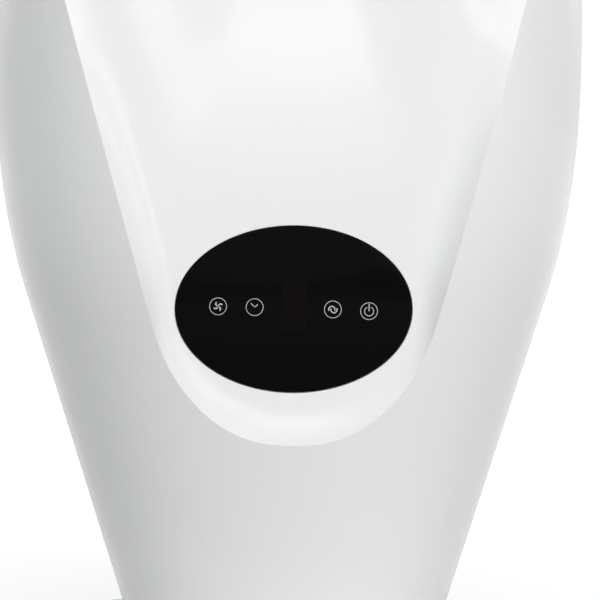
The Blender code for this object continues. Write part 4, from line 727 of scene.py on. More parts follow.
def on_circle(radius: float, count: int, shift: float = 0.0) -> list[Spot]:
    """Return even spots round a circle, shifted by a share of their pitch."""
    turns = [2.0 * math.pi * (index + shift) / count for index in range(count)]
    return [(radius * math.cos(turn), radius * math.sin(turn)) for turn in turns]


def rounded_frame(half_x: float, low: float, high: float, corner: float, steps: int = 10) -> list[Spot]:
    """Draw a rounded rectangle on the tower's middle line.

    Args:
        half_x: Half its width.
        low: Its lower edge.
        high: Its upper edge.
        corner: Radius of its corners.
        steps: Steps round a corner.

    Returns:
        Its outline in across and height.
    """
    right, top, bottom = half_x - corner, high - corner, low + corner
    outline = []
    for quarter, centre in enumerate(((right, top), (-right, top), (-right, bottom), (right, bottom))):
        outline += arc(centre, corner, 90.0 * quarter, 90.0 * (quarter + 1), steps)
    return outline


def stroke(points: list[Spot], half_width: float, steps: int = 8) -> list[Spot]:
    """Draw a line with round ends through points.

    Args:
        points: The points.
        half_width: Half the line's width.
        steps: Steps round an end.

    Returns:
        The line's outline.
    """
    track = np.array(points)
    along = np.gradient(track, axis=0)
    along /= np.linalg.norm(along, axis=1, keepdims=True)
    aside = np.stack((-along[:, 1], along[:, 0]), axis=1) * half_width
    ends = ((track + aside, track[-1], along[-1]), ((track - aside)[::-1], track[0], -along[0]))
    outline = []
    for side, tip, heading in ends:
        start = math.degrees(math.atan2(heading[1], heading[0])) + 90.0
        outline += [tuple(spot) for spot in side]
        outline += arc(tuple(tip), half_width, start, start - 180.0, steps)[1:-1]
    return outline


def shares(count: int) -> list[float]:
    """Return even shares of 1, from the first past 0 up to 1."""
    return [index / count for index in range(1, count + 1)]


def column(across: Array, level: Array | float, height: Array) -> Array:
    """Return one column of points."""
    return np.stack((across, np.broadcast_to(level, across.shape), height), axis=1)


# The tower's form

def smooth_step(value: Array) -> Array:
    """Return a smooth 0 to 1 ramp of a value."""
    share = np.clip(value, 0.0, 1.0)
    return share * share * (3.0 - 2.0 * share)


def smooth_min(first: Array, second: Array, blend: float) -> Array:
    """Return the lower of two values, rounded over where they differ by less than the blend."""
    near = np.maximum(blend - np.abs(first - second), 0.0) / blend
    return np.minimum(first, second) - near * near * blend / 4.0


def rail(height: Array, stations: tuple[Station, ...]) -> Array:
    """Run a smooth curve through stations, and straight on past both ends.

    Args:
        height: The heights.
        stations: Height, value and slope of each station.

    Returns:
        The curve's values at the heights.
    """
    height = np.asarray(height, dtype=float)
    start, value, slope = stations[0]
    result = value + slope * (height - start)
    for (low, low_value, low_slope), (high, high_value, high_slope) in zip(stations, stations[1:]):
        span = high - low
        share = (height - low) / span
        cubic = ((1.0 + 2.0 * share) * (1.0 - share) ** 2 * low_value
                 + share * (1.0 - share) ** 2 * span * low_slope
                 + share * share * (3.0 - 2.0 * share) * high_value
                 + share * share * (share - 1.0) * span * high_slope)
        result = np.where(height >= low, cubic, result)
        result = np.where(height >= high, high_value + high_slope * (height - high), result)
    return result


@dataclass(frozen=True)
class Rays:
    """Rays that leave the opening's middle line, by their start height and direction."""

    start: Array
    side: Array
    rise: Array

    def at(self, reach: Array) -> tuple[Array, Array]:
        """Return across and height of the points at a distance along the rays."""
        return self.side * reach, self.start + self.rise * reach


@dataclass(frozen=True)
class TowerForm:
    """The sizes of the tower and the formulas of its skin, as the construction has them."""

    height: float = 0.980
    bottom_z: float = 0.045
    bottom_radius: float = 0.0686
    cone_slope: float = 0.3135
    cone_top_z: float = 0.190
    widest_z: float = 0.300
    widest_radius: float = 0.1275
    shoulder_z: float = 0.860
    shoulder_half_width: float = 0.092
    shoulder_slope: float = -0.10
    dome_power: float = 2.3
    shoulder_front: float = 0.075
    shoulder_front_slope: float = -0.08
    rear_cone_top_z: float = 0.150
    rear_full_z: float = 0.210
    rear_depth: float = 0.108
    rear_ease_z: float = 0.290
    loop_rear_z: float = 0.430
    loop_rear: float = 0.062
    loop_rear_slope: float = -0.06
    shoulder_rear: float = 0.050
    shoulder_rear_slope: float = -0.01
    crease_z: float = 0.1341
    crease_half: float = 0.0455
    crease_rise: float = 0.0485
    crease_power: float = 2.59
    crease_slope: float = 0.2741
    loop_rim_share: float = 0.205
    crease_blend: float = 0.015
    opening_z: float = 0.370
    opening_low: float = 0.052
    opening_top_z: float = 0.905
    opening_high: float = 0.037
    panel_plane: float = 0.088
    dish_step: float = 0.003
    dish_step_blend: float = 0.0015
    dish_wall: float = 0.014
    dish_wall_share: float = 0.18
    dish_wall_least: float = 0.004
    dish_wall_blend: float = 0.004
    ramp: float = 0.135
    ramp_share: float = 0.75
    ramp_blend: float = 0.015
    panel_z: float = 0.1906
    panel_half_width: float = 0.0497
    panel_half_height: float = 0.0351
    panel_margin: float = 0.0008
    panel_samples: int = 360
    parting_gap: float = 0.0003
    search_steps: int = 44
    crease_samples: int = 1400

    @property
    def middle(self) -> Span:
        """Return the lower and upper end of the opening's middle line."""
        return self.opening_z + self.opening_low, self.opening_top_z - self.opening_high

    def dome(self, height: Array) -> Array:
        """Return how much of the loop's size is left at a height in its rounded top."""
        share = np.clip((height - self.shoulder_z) / (self.height - self.shoulder_z), 0.0, 1.0)
        return (1.0 - share ** self.dome_power) ** (1.0 / self.dome_power)

    def swell(self, height: Array, cone_top: float, *upper: Station) -> Array:
        """Run a size up the lower cone, through stations and over the rounded top.

        Args:
            height: The heights.
            cone_top: Where the cone ends.
            *upper: The stations above it.

        Returns:
            The size at the heights.
        """
        foot = (self.bottom_z, self.bottom_radius, self.cone_slope)
        top = (cone_top, self.bottom_radius + self.cone_slope * (cone_top - self.bottom_z), self.cone_slope)
        return rail(height, (foot, top, *upper)) * self.dome(height)

    def half_width(self, height: Array) -> Array:
        """Return half the tower's width at a height."""
        return self.swell(height, self.cone_top_z, (self.widest_z, self.widest_radius, 0.0),
                          (self.shoulder_z, self.shoulder_half_width, self.shoulder_slope))

    def front_depth(self, height: Array) -> Array:
        """Return the depth of the uncut front at the tower's middle."""
        return self.swell(height, self.cone_top_z, (self.widest_z, self.widest_radius, 0.0),
                          (self.shoulder_z, self.shoulder_front, self.shoulder_front_slope))

    def back_depth(self, height: Array) -> Array:
        """Return the depth of the rear skin at the tower's middle."""
        return self.swell(height, self.rear_cone_top_z, (self.rear_full_z, self.rear_depth, 0.0),
                          (self.rear_ease_z, self.rear_depth, 0.0),
                          (self.loop_rear_z, self.loop_rear, self.loop_rear_slope),
                          (self.shoulder_z, self.shoulder_rear, self.shoulder_rear_slope))

    def roundness(self, across: Array, height: Array) -> Array:
        """Return the share of the full depth that is left at a distance from the middle."""
        width = np.maximum(self.half_width(height), MERGE)
        return np.sqrt(np.maximum(1.0 - (across / width) ** 2, 0.0))

    def outer_front(self, across: Array, height: Array) -> Array:
        """Return y of the front skin outside the crease."""
        return -self.front_depth(height) * self.roundness(across, height)

    def rear_skin(self, across: Array, height: Array) -> Array:
        """Return y of the rear skin."""
        return self.parting_gap + self.back_depth(height) * self.roundness(across, height)

    def rays_through(self, across: Array, height: Array) -> tuple[Rays, Array]:
        """Find the rays through points.

        Args:
            across: The points' distance from the middle.
            height: Their height.

        Returns:
            The rays, and the points' distance along them.
        """
        start = np.clip(height, *self.middle)
        length = np.maximum(np.hypot(across, height - start), MERGE)
        return Rays(start, across / length, (height - start) / length), length

    def rays_at(self, turn: Array) -> Rays:
        """Find the rays of turns.

        Args:
            turn: From 0, straight down, through 1 and 2, the middle line's ends, to 3, straight up.

        Returns:
            The rays.
        """
        low, high = self.middle
        start = low + np.clip(turn - 1.0, 0.0, 1.0) * (high - low)
        angle = (np.minimum(turn, 1.0) - 1.0 + np.maximum(turn - 2.0, 0.0)) * math.pi / 2.0
        return Rays(start, np.cos(angle), np.sin(angle))

    def search(self, rays: Rays, inside: Callable[[Array, Array], Array]) -> Array:
        """Search how far rays run before they leave a region.

        Args:
            rays: The rays.
            inside: Tells which points of across and height lie in the region.

        Returns:
            The rays' length in the region.
        """
        low = np.zeros_like(rays.start)
        high = np.full_like(rays.start, self.height)
        for _ in range(self.search_steps):
            middle = (low + high) / 2.0
            kept = inside(*rays.at(middle))
            low = np.where(kept, middle, low)
            high = np.where(kept, high, middle)
        return low

    def in_outline(self, across: Array, height: Array) -> Array:
        """Tell which points lie inside the outline."""
        within = (height >= self.bottom_z) & (height <= self.height)
        return within & (np.abs(across) <= self.half_width(height))

    def in_crease(self, across: Array, height: Array) -> Array:
        """Tell which points lie inside the body's part of the crease.

        Args:
            across: The points' distance from the middle.
            height: Their height.

        Returns:
            Whether each point lies inside.
        """
        rise = np.maximum(height - self.crease_z, 0.0)
        left = np.maximum(1.0 - rise / self.crease_rise, 0.0)
        half = self.crease_half * (1.0 - left * left) ** (1.0 / self.crease_power)
        return (height >= self.crease_z) & (np.abs(across) <= half + self.crease_slope * rise)

    def outline_reach(self, rays: Rays) -> Array:
        """Return the rays' length to the outline."""
        return self.search(rays, self.in_outline)

    def crease_reach(self, rays: Rays) -> Array:
        """Find where rays meet the crease.

        Args:
            rays: The rays.

        Returns:
            Their length to the crease.
        """
        outline = self.outline_reach(rays)
        top = np.minimum(rays.start + rays.rise * outline, self.shoulder_z)
        rim = self.loop_rim_share * self.half_width(top)
        return smooth_min(self.search(rays, self.in_crease), outline - rim, self.crease_blend)

    def opening_reach(self, rays: Rays) -> Array:
        """Return the rays' length to the opening's narrowest line."""
        share = smooth_step((rays.start - self.middle[0]) / (self.middle[1] - self.middle[0]))
        return self.opening_low + (self.opening_high - self.opening_low) * share

    def floor_depth(self, crease_depth: Array) -> Array:
        """Return the dish floor's depth for a depth of the crease beside it."""
        flat = np.full_like(crease_depth, self.panel_plane)
        return smooth_min(flat, crease_depth - self.dish_step, self.dish_step_blend)

    def panel_room(self, across: Array, height: Array) -> Array:
        """Return the distance from points to the edge of the oval panel."""
        edge = np.array(oval(self.panel_half_width, self.panel_half_height, self.panel_z, self.panel_samples))
        return np.min(np.hypot(across[:, None] - edge[:, 0], height[:, None] - edge[:, 1]), axis=1)


class Dish:
    """The front dish: the crease as a dense line, and the floor, wall and roll inside it."""

    batch = 4000

    def __init__(self, form: TowerForm) -> None:
        """Sample the crease, its depth and the width of the wall inside it.

        Args:
            form: The tower's form.
        """
        self.form = form
        rays = form.rays_at(np.linspace(0.0, 3.0, form.crease_samples) ** 2 / 3.0)
        reach = form.crease_reach(rays)
        room = reach - form.opening_reach(rays)
        self.across, self.height = rays.at(reach)
        self.depth = -form.outer_front(self.across, self.height)
        wall = smooth_min(form.panel_room(self.across, self.height) - form.panel_margin,
                          np.full_like(room, form.dish_wall), form.dish_wall_blend)
        wall = smooth_min(wall, form.dish_wall_share * room, form.dish_wall_blend)
        self.wall = np.maximum(wall, form.dish_wall_least)

    def nearest(self, across: Array, height: Array) -> tuple[Array, Array, Array]:
        """Find the crease's nearest place to points.

        Args:
            across: The points' distance from the middle.
            height: Their height.

        Returns:
            The distance to the crease, and its depth and wall width there.
        """
        places = np.stack((np.abs(across).ravel(), height.ravel()), axis=1)
        index = np.empty(len(places), dtype=int)
        for part in np.array_split(np.arange(len(places)), len(places) // self.batch + 1):
            gap = np.hypot(places[part, :1] - self.across, places[part, 1:] - self.height)
            index[part] = np.argmin(gap, axis=1)
        distance = np.hypot(places[:, 0] - self.across[index], places[:, 1] - self.height[index])
        shape = across.shape
        return distance.reshape(shape), self.depth[index].reshape(shape), self.wall[index].reshape(shape)

    def ramp_length(self, rays: Rays) -> Array:
        """Return the length, along each ray, of the dish's roll into the opening."""
        form, room = self.form, self.form.crease_reach(rays) - self.form.opening_reach(rays)
        return smooth_min(np.full_like(room, form.ramp), form.ramp_share * room, form.ramp_blend)

    def surface(self, across: Array, height: Array) -> Array:
        """Find the front moulding's outer face at points outside the opening.

        Args:
            across: The points' distance from the middle.
            height: Their height.

        Returns:
            The face's y.
        """
        form = self.form
        rays, length = form.rays_through(across, height)
        to_crease = form.crease_reach(rays)
        floor = form.floor_depth(-form.outer_front(*rays.at(to_crease)))
        inward = np.clip((length - form.opening_reach(rays)) / self.ramp_length(rays), 0.0, 1.0)
        level = -floor * np.sqrt(1.0 - (1.0 - inward) ** 2)
        distance, depth, wall = self.nearest(across, height)
        climb = np.maximum(1.0 - distance / wall, 0.0) ** 2
        dish = level - (depth - form.floor_depth(depth)) * climb
        return np.where(length > to_crease, form.outer_front(across, height), dish)

    def column(self, rays: Rays, reach: Array) -> Array:
        """Return the column of the dish's points at a distance along the rays."""
        across, height = rays.at(reach)
        return column(across, self.surface(across, height), height)


@dataclass
class Shells:
    """The front and rear mouldings, with their panel recess, screw wells and grille opening."""

    form: TowerForm
    dish: Dish
    wardrobe: Wardrobe
    wall: float = 0.0026
    lip_wall: float = 0.0016
    lip_columns: int = 4
    rim_rows: int = 44
    side_rows: int = 110
    row_power: float = 1.35
    skin_columns: int = 22
    wall_columns: int = 8
    wall_samples: int = 260
    floor_columns: int = 22
    ramp_columns: int = 22
    tail_columns: int = 5
    rear_columns: int = 24
    rear_edge_columns: int = 18
    smooth_angle: float = math.radians(34)
    crease_soft: float = 0.0005
    tail_flare: float = 0.010
    tail_depth: float = 0.024
    tail_sweep: float = math.radians(60)
    lip_inset: float = 0.0035
    lip_front: float = 0.004
    rear_edge_width: float = 0.018
    pull_share: float = 0.6
    lens_thickness: float = 0.0015
    lens_ledge: float = 0.0035
    recess_segments: int = 256
    window_segments: int = 128
    well_radius: float = 0.0058
    well_bore: float = 0.0041
    well_depth: float = 0.009
    well_floor: float = 0.0022
    post_segments: int = 32
    bore_segments: int = 40
    hole_segments: int = 24
    board_hole_segments: int = 20
    seat_share: float = 0.7
    screw_radius: float = 0.0014
    screw_length: float = 0.014
    boss_radius: float = 0.0042
    board_front: float = -0.077
    board_thickness: float = 0.0016
    board_screws: Spot = (0.0375, 0.0235)
    board_boss_radius: float = 0.003
    board_screw_radius: float = 0.0009
    board_screw_length: float = 0.008
    foot_screw: Spot = (0.036, 0.078)
    body_screw: Spot = (0.095, 0.2839)
    loop_screw_heights: tuple[float, float] = (0.430, 0.850)
    loop_screw_share: float = 0.72
    grille_outline: tuple[float, float, float, float] = (0.0625, 0.0895, 0.2055, 0.0125)

    def rays(self) -> Rays:
        """Make the rays of the rows: even steps round the bottom rim, then the sides.

        Returns:
            The rays, from straight down to straight up.
        """
        form = self.form
        rim = form.bottom_radius * np.sin(np.linspace(0.0, math.pi / 2.0, self.rim_rows + 1))
        bottom = np.arctan2(rim, form.middle[0] - form.bottom_z) * 2.0 / math.pi
        share = np.linspace(0.0, 1.0, self.side_rows + 1)[1:] ** self.row_power
        return form.rays_at(np.concatenate((bottom, bottom[-1] + (3.0 - bottom[-1]) * share)))

    def skin(self, rays: Rays, stop: Array, count: int) -> list[tuple[Array, Array]]:
        """Lay columns from the outline to a stop, closer at the outline.

        Args:
            rays: The rows' rays.
            stop: The rays' length to the stop.
            count: Number of columns before the stop.

        Returns:
            Across and height of each column.
        """
        stop_x, stop_z = rays.at(stop)
        edge_x, edge_z = rays.at(self.form.outline_reach(rays))
        spread = np.arccos(np.clip(stop_x / self.form.half_width(stop_z), 0.0, 1.0))
        result = []
        for index in range(count):
            share = (1.0 - np.cos(spread * index / count)) / (1.0 - np.cos(spread))
            result.append((edge_x + (stop_x - edge_x) * share, edge_z + (stop_z - edge_z) * share))
        return result

    def closed(self, grid: Array, thin: int, inner: list[int], name: str) -> Piece:
        """Give a moulding's outer face its wall and its mirrored half.

        Args:
            grid: Outer points of the right half, of shape (rows, columns, 3), bottom to top.
            thin: Number of last columns with the lip's wall.
            inner: The columns that the inner face has.
            name: Name of the new piece.

        Returns:
            The closed moulding.
        """
        walls = np.full((grid.shape[1], 1), self.wall)
        walls[-thin:] = self.lip_wall
        mirror = np.array([-1.0, 1.0, 1.0])
        along = np.empty_like(grid)
        along[1:-1] = grid[2:] - grid[:-2]
        along[0] = grid[1] - grid[1] * mirror
        along[-1] = grid[-2] * mirror - grid[-2]
        normal = np.cross(along, np.gradient(grid, axis=1))
        normal /= np.maximum(np.linalg.norm(normal, axis=2, keepdims=True), MERGE)
        if normal[len(grid) // 2, 0, 0] < 0.0:
            normal = -normal
        on_rim = grid[:, 0, 2] < self.form.bottom_z + MERGE
        corner = on_rim & (np.abs(grid[:, 0, 1]) < 2.0 * self.form.parting_gap)
        normal[on_rim, 0, 2] = 0.0
        normal[~on_rim | corner, 0, 1] = 0.0
        normal[[0, -1], :, 0] = 0.0
        normal /= np.maximum(np.linalg.norm(normal, axis=2, keepdims=True), MERGE)
        rings = np.concatenate((grid, (grid - normal * walls)[:, inner[::-1]]), axis=1)
        return skinned(name, np.concatenate((rings, rings[1:-1][::-1] * mirror)))

    def to_parting(self, outline: Array, level: float) -> None:
        """Set the y of an outline's points above the bottom rim to the parting plane's."""
        outline[outline[:, 2] > self.form.bottom_z + MERGE, 1] = level

    def wall_reaches(self, rays: Rays, crease: Array, ramp_start: Array) -> list[Array]:
        """Find even steps down the wall inside the crease.

        Args:
            rays: The rows' rays.
            crease: Their length to the crease.
            ramp_start: Their length to the start of the roll into the opening.

        Returns:
            The rays' length at each step.
        """
        walk = np.linspace(0.0, 1.0, self.wall_samples)
        reaches = crease[:, None] * (1.0 - walk) + ramp_start[:, None] * walk
        across = rays.side[:, None] * reaches
        height = rays.start[:, None] + rays.rise[:, None] * reaches
        distance, _, wall = self.dish.nearest(across, height)
        fractions = np.maximum.accumulate(distance / wall, axis=1)
        result = [np.array([np.interp(share, *row) for row in zip(fractions, reaches)])
                  for share in shares(self.wall_columns)]
        result[0] = np.maximum(result[0], crease - self.crease_soft)
        return result

    def front_grid(self) -> tuple[Array, list[int]]:
        """Lay out the front moulding's outer face, from the outline to the tail's end.

        Returns:
            Its points, and the columns that its inner face has.
        """
        form, dish, rays = self.form, self.dish, self.rays()
        crease = form.crease_reach(rays)
        opening = form.opening_reach(rays)
        ramp = dish.ramp_length(rays)
        spots = self.skin(rays, crease - self.crease_soft, self.skin_columns)
        spots += [rays.at(crease + self.crease_soft), rays.at(crease)]
        columns = [column(x, form.outer_front(x, z), z) for x, z in spots]
        self.to_parting(columns[0], 0.0)
        wall = self.wall_reaches(rays, crease, opening + ramp)
        columns += [dish.column(rays, reach) for reach in wall]
        inner = [*range(0, self.skin_columns, 2), len(spots) - 1, len(columns) - 1]
        floor = [wall[-1] * (1.0 - share) + (opening + ramp) * share for share in shares(self.floor_columns)]
        turns = [math.pi / 2.0 * share for share in shares(self.ramp_columns)]
        roll = [opening + ramp * (1.0 - math.sin(turn)) for turn in turns]
        for reaches in (floor, roll):
            inner += range(len(columns) + 1, len(columns) + len(reaches), 2)
            columns += [dish.column(rays, reach) for reach in reaches]
        columns[-1][:, 1] = 0.0
        inner += range(len(columns), len(columns) + self.tail_columns)
        for share in shares(self.tail_columns):
            sweep = self.tail_sweep * share
            across, height = rays.at(opening + self.tail_flare * (1.0 - math.cos(sweep)))
            columns.append(column(across, self.tail_depth * math.sin(sweep), height))
        return np.stack(columns, axis=1), inner

    def rear_grid(self) -> Array:
        """Lay out the rear moulding's outer face, from the outline over a rounded edge to the lip.

        Returns:
            Its points.
        """
        form, rays = self.form, self.rays()
        opening = form.opening_reach(rays)
        edge = opening + self.rear_edge_width
        spots = [*self.skin(rays, edge, self.rear_columns), rays.at(edge)]
        columns = [column(x, form.rear_skin(x, z), z) for x, z in spots]
        self.to_parting(columns[0], form.parting_gap)
        top = columns[-1][:, 1]
        slope = (top - form.rear_skin(*rays.at(edge + self.lip_wall))) / self.lip_wall
        lip = opening - self.lip_inset
        pull_in = self.pull_share * (edge - lip)
        pull_back = self.pull_share * (top - self.lip_front)
        for share in shares(self.rear_edge_columns):
            left = 1.0 - share
            first, second = left ** 3, 3.0 * share * left ** 2
            third, last = 3.0 * share ** 2 * left, share ** 3
            reach = first * edge + second * (edge - pull_in) + (third + last) * lip
            level = (first * top + second * (top + slope * pull_in)
                     + third * (self.lip_front + pull_back) + last * self.lip_front)
            across, height = rays.at(reach)
            columns.append(column(across, level, height))
        return np.stack(columns, axis=1)

    def screw_places(self) -> list[Spot]:
        """Find the screws through the rear moulding.

        Returns:
            Across and height of each.
        """
        heights = np.array(self.loop_screw_heights)
        rays = Rays(heights, np.ones(2), np.zeros(2))
        opening = self.form.opening_reach(rays)
        reach = opening + self.loop_screw_share * (self.form.crease_reach(rays) - opening)
        places = [self.foot_screw, self.body_screw, *zip(reach.tolist(), heights.tolist())]
        return [(side * x, z) for side in (-1.0, 1.0) for x, z in places]

    def well_face(self, place: Spot) -> float:
        """Return y of the outer face of a screw well's floor."""
        return float(self.form.rear_skin(np.array(place[0]), np.array(place[1]))) - self.well_depth

    def boss(self, place: Spot, back: float, radius: float) -> Piece:
        """Build a post on the inside of the front wall.

        Args:
            place: Across and height of its axis.
            back: Y of its free end.
            radius: Its radius.

        Returns:
            The post, with its fixed end following the wall.
        """
        middle = back - radius / 2.0
        bpy.ops.mesh.primitive_cylinder_add(vertices=self.post_segments, radius=radius, depth=radius,
                                            end_fill_type="TRIFAN", location=(place[0], middle, place[1]),
                                            rotation=LYING)
        post = named(bpy.context.active_object, "boss")
        for vertex in post.data.vertices:
            if vertex.co.y < middle:
                skin = self.dish.surface(np.array([vertex.co.x]), np.array([vertex.co.z]))
                vertex.co.y = float(skin[0]) + self.seat_share * self.wall
        return post

    def add_bosses(self, shell: Piece) -> None:
        """Add the posts that take the mouldings' screws and the touch board's.

        Args:
            shell: The front moulding.
        """
        rows = [(place, self.well_face(place) - self.well_floor - FIT_GAP, self.boss_radius,
                 self.screw_radius, self.screw_length, self.hole_segments) for place in self.screw_places()]
        across, rise = self.board_screws
        rows += [((x, self.form.panel_z + z), self.board_front - FIT_GAP, self.board_boss_radius,
                  self.board_screw_radius, self.board_screw_length - self.board_thickness,
                  self.board_hole_segments) for x in (-across, across) for z in (-rise, rise)]
        bosses = [self.boss(place, back, radius) for place, back, radius, _, _, _ in rows]
        pilots = [pin(place, back - length, back + OVERRUN, radius + FIT_GAP, segments)
                  for place, back, _, radius, length, segments in rows]
        combine(shell, Join.ADD, bosses, Solver.CLOSED)
        combine(shell, Join.CUT, pilots, Solver.CLOSED)

    def build_front(self) -> None:
        """Build the front moulding with its bosses and the panel's recess."""
        form = self.form
        grid, inner = self.front_grid()
        shell = self.closed(grid, self.tail_columns + 1, inner, "front_moulding")
        self.add_bosses(shell)
        recess = (-FIT_GAP, self.lens_thickness + FIT_GAP, self.recess_segments)
        window = (self.lens_ledge, self.wall + OVERRUN / 2.0, self.window_segments)
        for inset, depth, count in (recess, window):
            edge = oval(form.panel_half_width - inset, form.panel_half_height - inset, form.panel_z, count)
            tool = plate_of("panel_hole", edge, -form.panel_plane - OVERRUN, depth - form.panel_plane)
            combine(shell, Join.CUT, [tool], Solver.CLOSED)
        smooth(shell, self.smooth_angle)
        self.wardrobe.finish(shell, Body.TOWER, Slot.CASING, "front_shell")

    def build_rear(self) -> None:
        """Build the rear moulding with its screw wells and the grille's opening."""
        grid = self.rear_grid()
        last = grid.shape[1] - 1
        shell = self.closed(grid, self.lip_columns, sorted({*range(0, last, 2), last}), "rear_moulding")
        wells, bores, holes = [], [], []
        for place in self.screw_places():
            face = self.well_face(place)
            floor = self.well_floor
            top = face + self.well_depth - self.well_radius / 2.0
            wells.append(pin(place, face - floor, top, self.well_radius, self.post_segments))
            bores.append(pin(place, face, face + 3.0 * self.well_depth, self.well_bore, self.bore_segments))
            holes.append(pin(place, face - 3.0 * floor, face + floor, self.screw_radius + FIT_GAP,
                             self.hole_segments))
        combine(shell, Join.ADD, wells, Solver.CLOSED)
        combine(shell, Join.CUT, bores, Solver.CLOSED)
        combine(shell, Join.CUT, holes, Solver.CLOSED)
        outline = rounded_frame(*self.grille_outline)
        opening = plate_of("opening", outline, FIT_GAP, 2.0 * self.form.rear_depth)
        combine(shell, Join.CUT, [opening], Solver.CLOSED)
        smooth(shell, self.smooth_angle)
        self.wardrobe.finish(shell, Body.TOWER, Slot.CASING, "rear_shell")

    def build_screws(self) -> None:
        """Build the screws between the mouldings, modelled once and copied."""
        screw = placed(Screw(self.screw_length).build(), "pattern", turn=(-math.pi / 2.0, 0.0, 0.0))
        places = [(x, self.well_face((x, z)) + FIT_GAP, z) for x, z in self.screw_places()]
        self.wardrobe.finish_copies(screw, places, Body.TOWER, Slot.STEEL, ("screw_in_well", "shell_screw"))

    def build(self) -> None:
        """Build both mouldings and their screws."""
        self.build_front()
        self.build_rear()
        self.build_screws()


@dataclass(frozen=True)
class Screw:
    """A domed screw with a cross recess; it stands on its head's seat with its shank down."""

    length: float
    head_radius: float = 0.0034
    head_height: float = 0.0022
    radius: float = 0.0014
    round_share: float = 0.4
    shank_segments: int = 24
    recess_span: float = 0.0042
    recess_width: float = 0.0009
    recess_depth: float = 0.0013

    def build(self) -> Piece:
        """Build the screw.

        Returns:
            The screw.
        """
        head = rod("head", (0.0, 0.0, self.head_height / 2.0), self.head_radius, self.head_height)
        bevelled(head, self.head_height * self.round_share, 4)
        overlap = self.radius / 2.0
        shank = rod("shank", (0.0, 0.0, (overlap - self.length) / 2.0), self.radius, self.length + overlap,
                    segments=self.shank_segments)
        bevelled(shank, self.radius * self.round_share, 2)
        combine(head, Join.ADD, [shank])
        for turn in (0.0, math.pi / 2.0):
            bpy.ops.mesh.primitive_cube_add(size=1.0)
            blade = placed(bpy.context.active_object, "blade", (0.0, 0.0, self.head_height), (0.0, 0.0, turn),
                           (self.recess_span, self.recess_width, 2.0 * self.recess_depth))
            combine(head, Join.CUT, [blade])
        return head


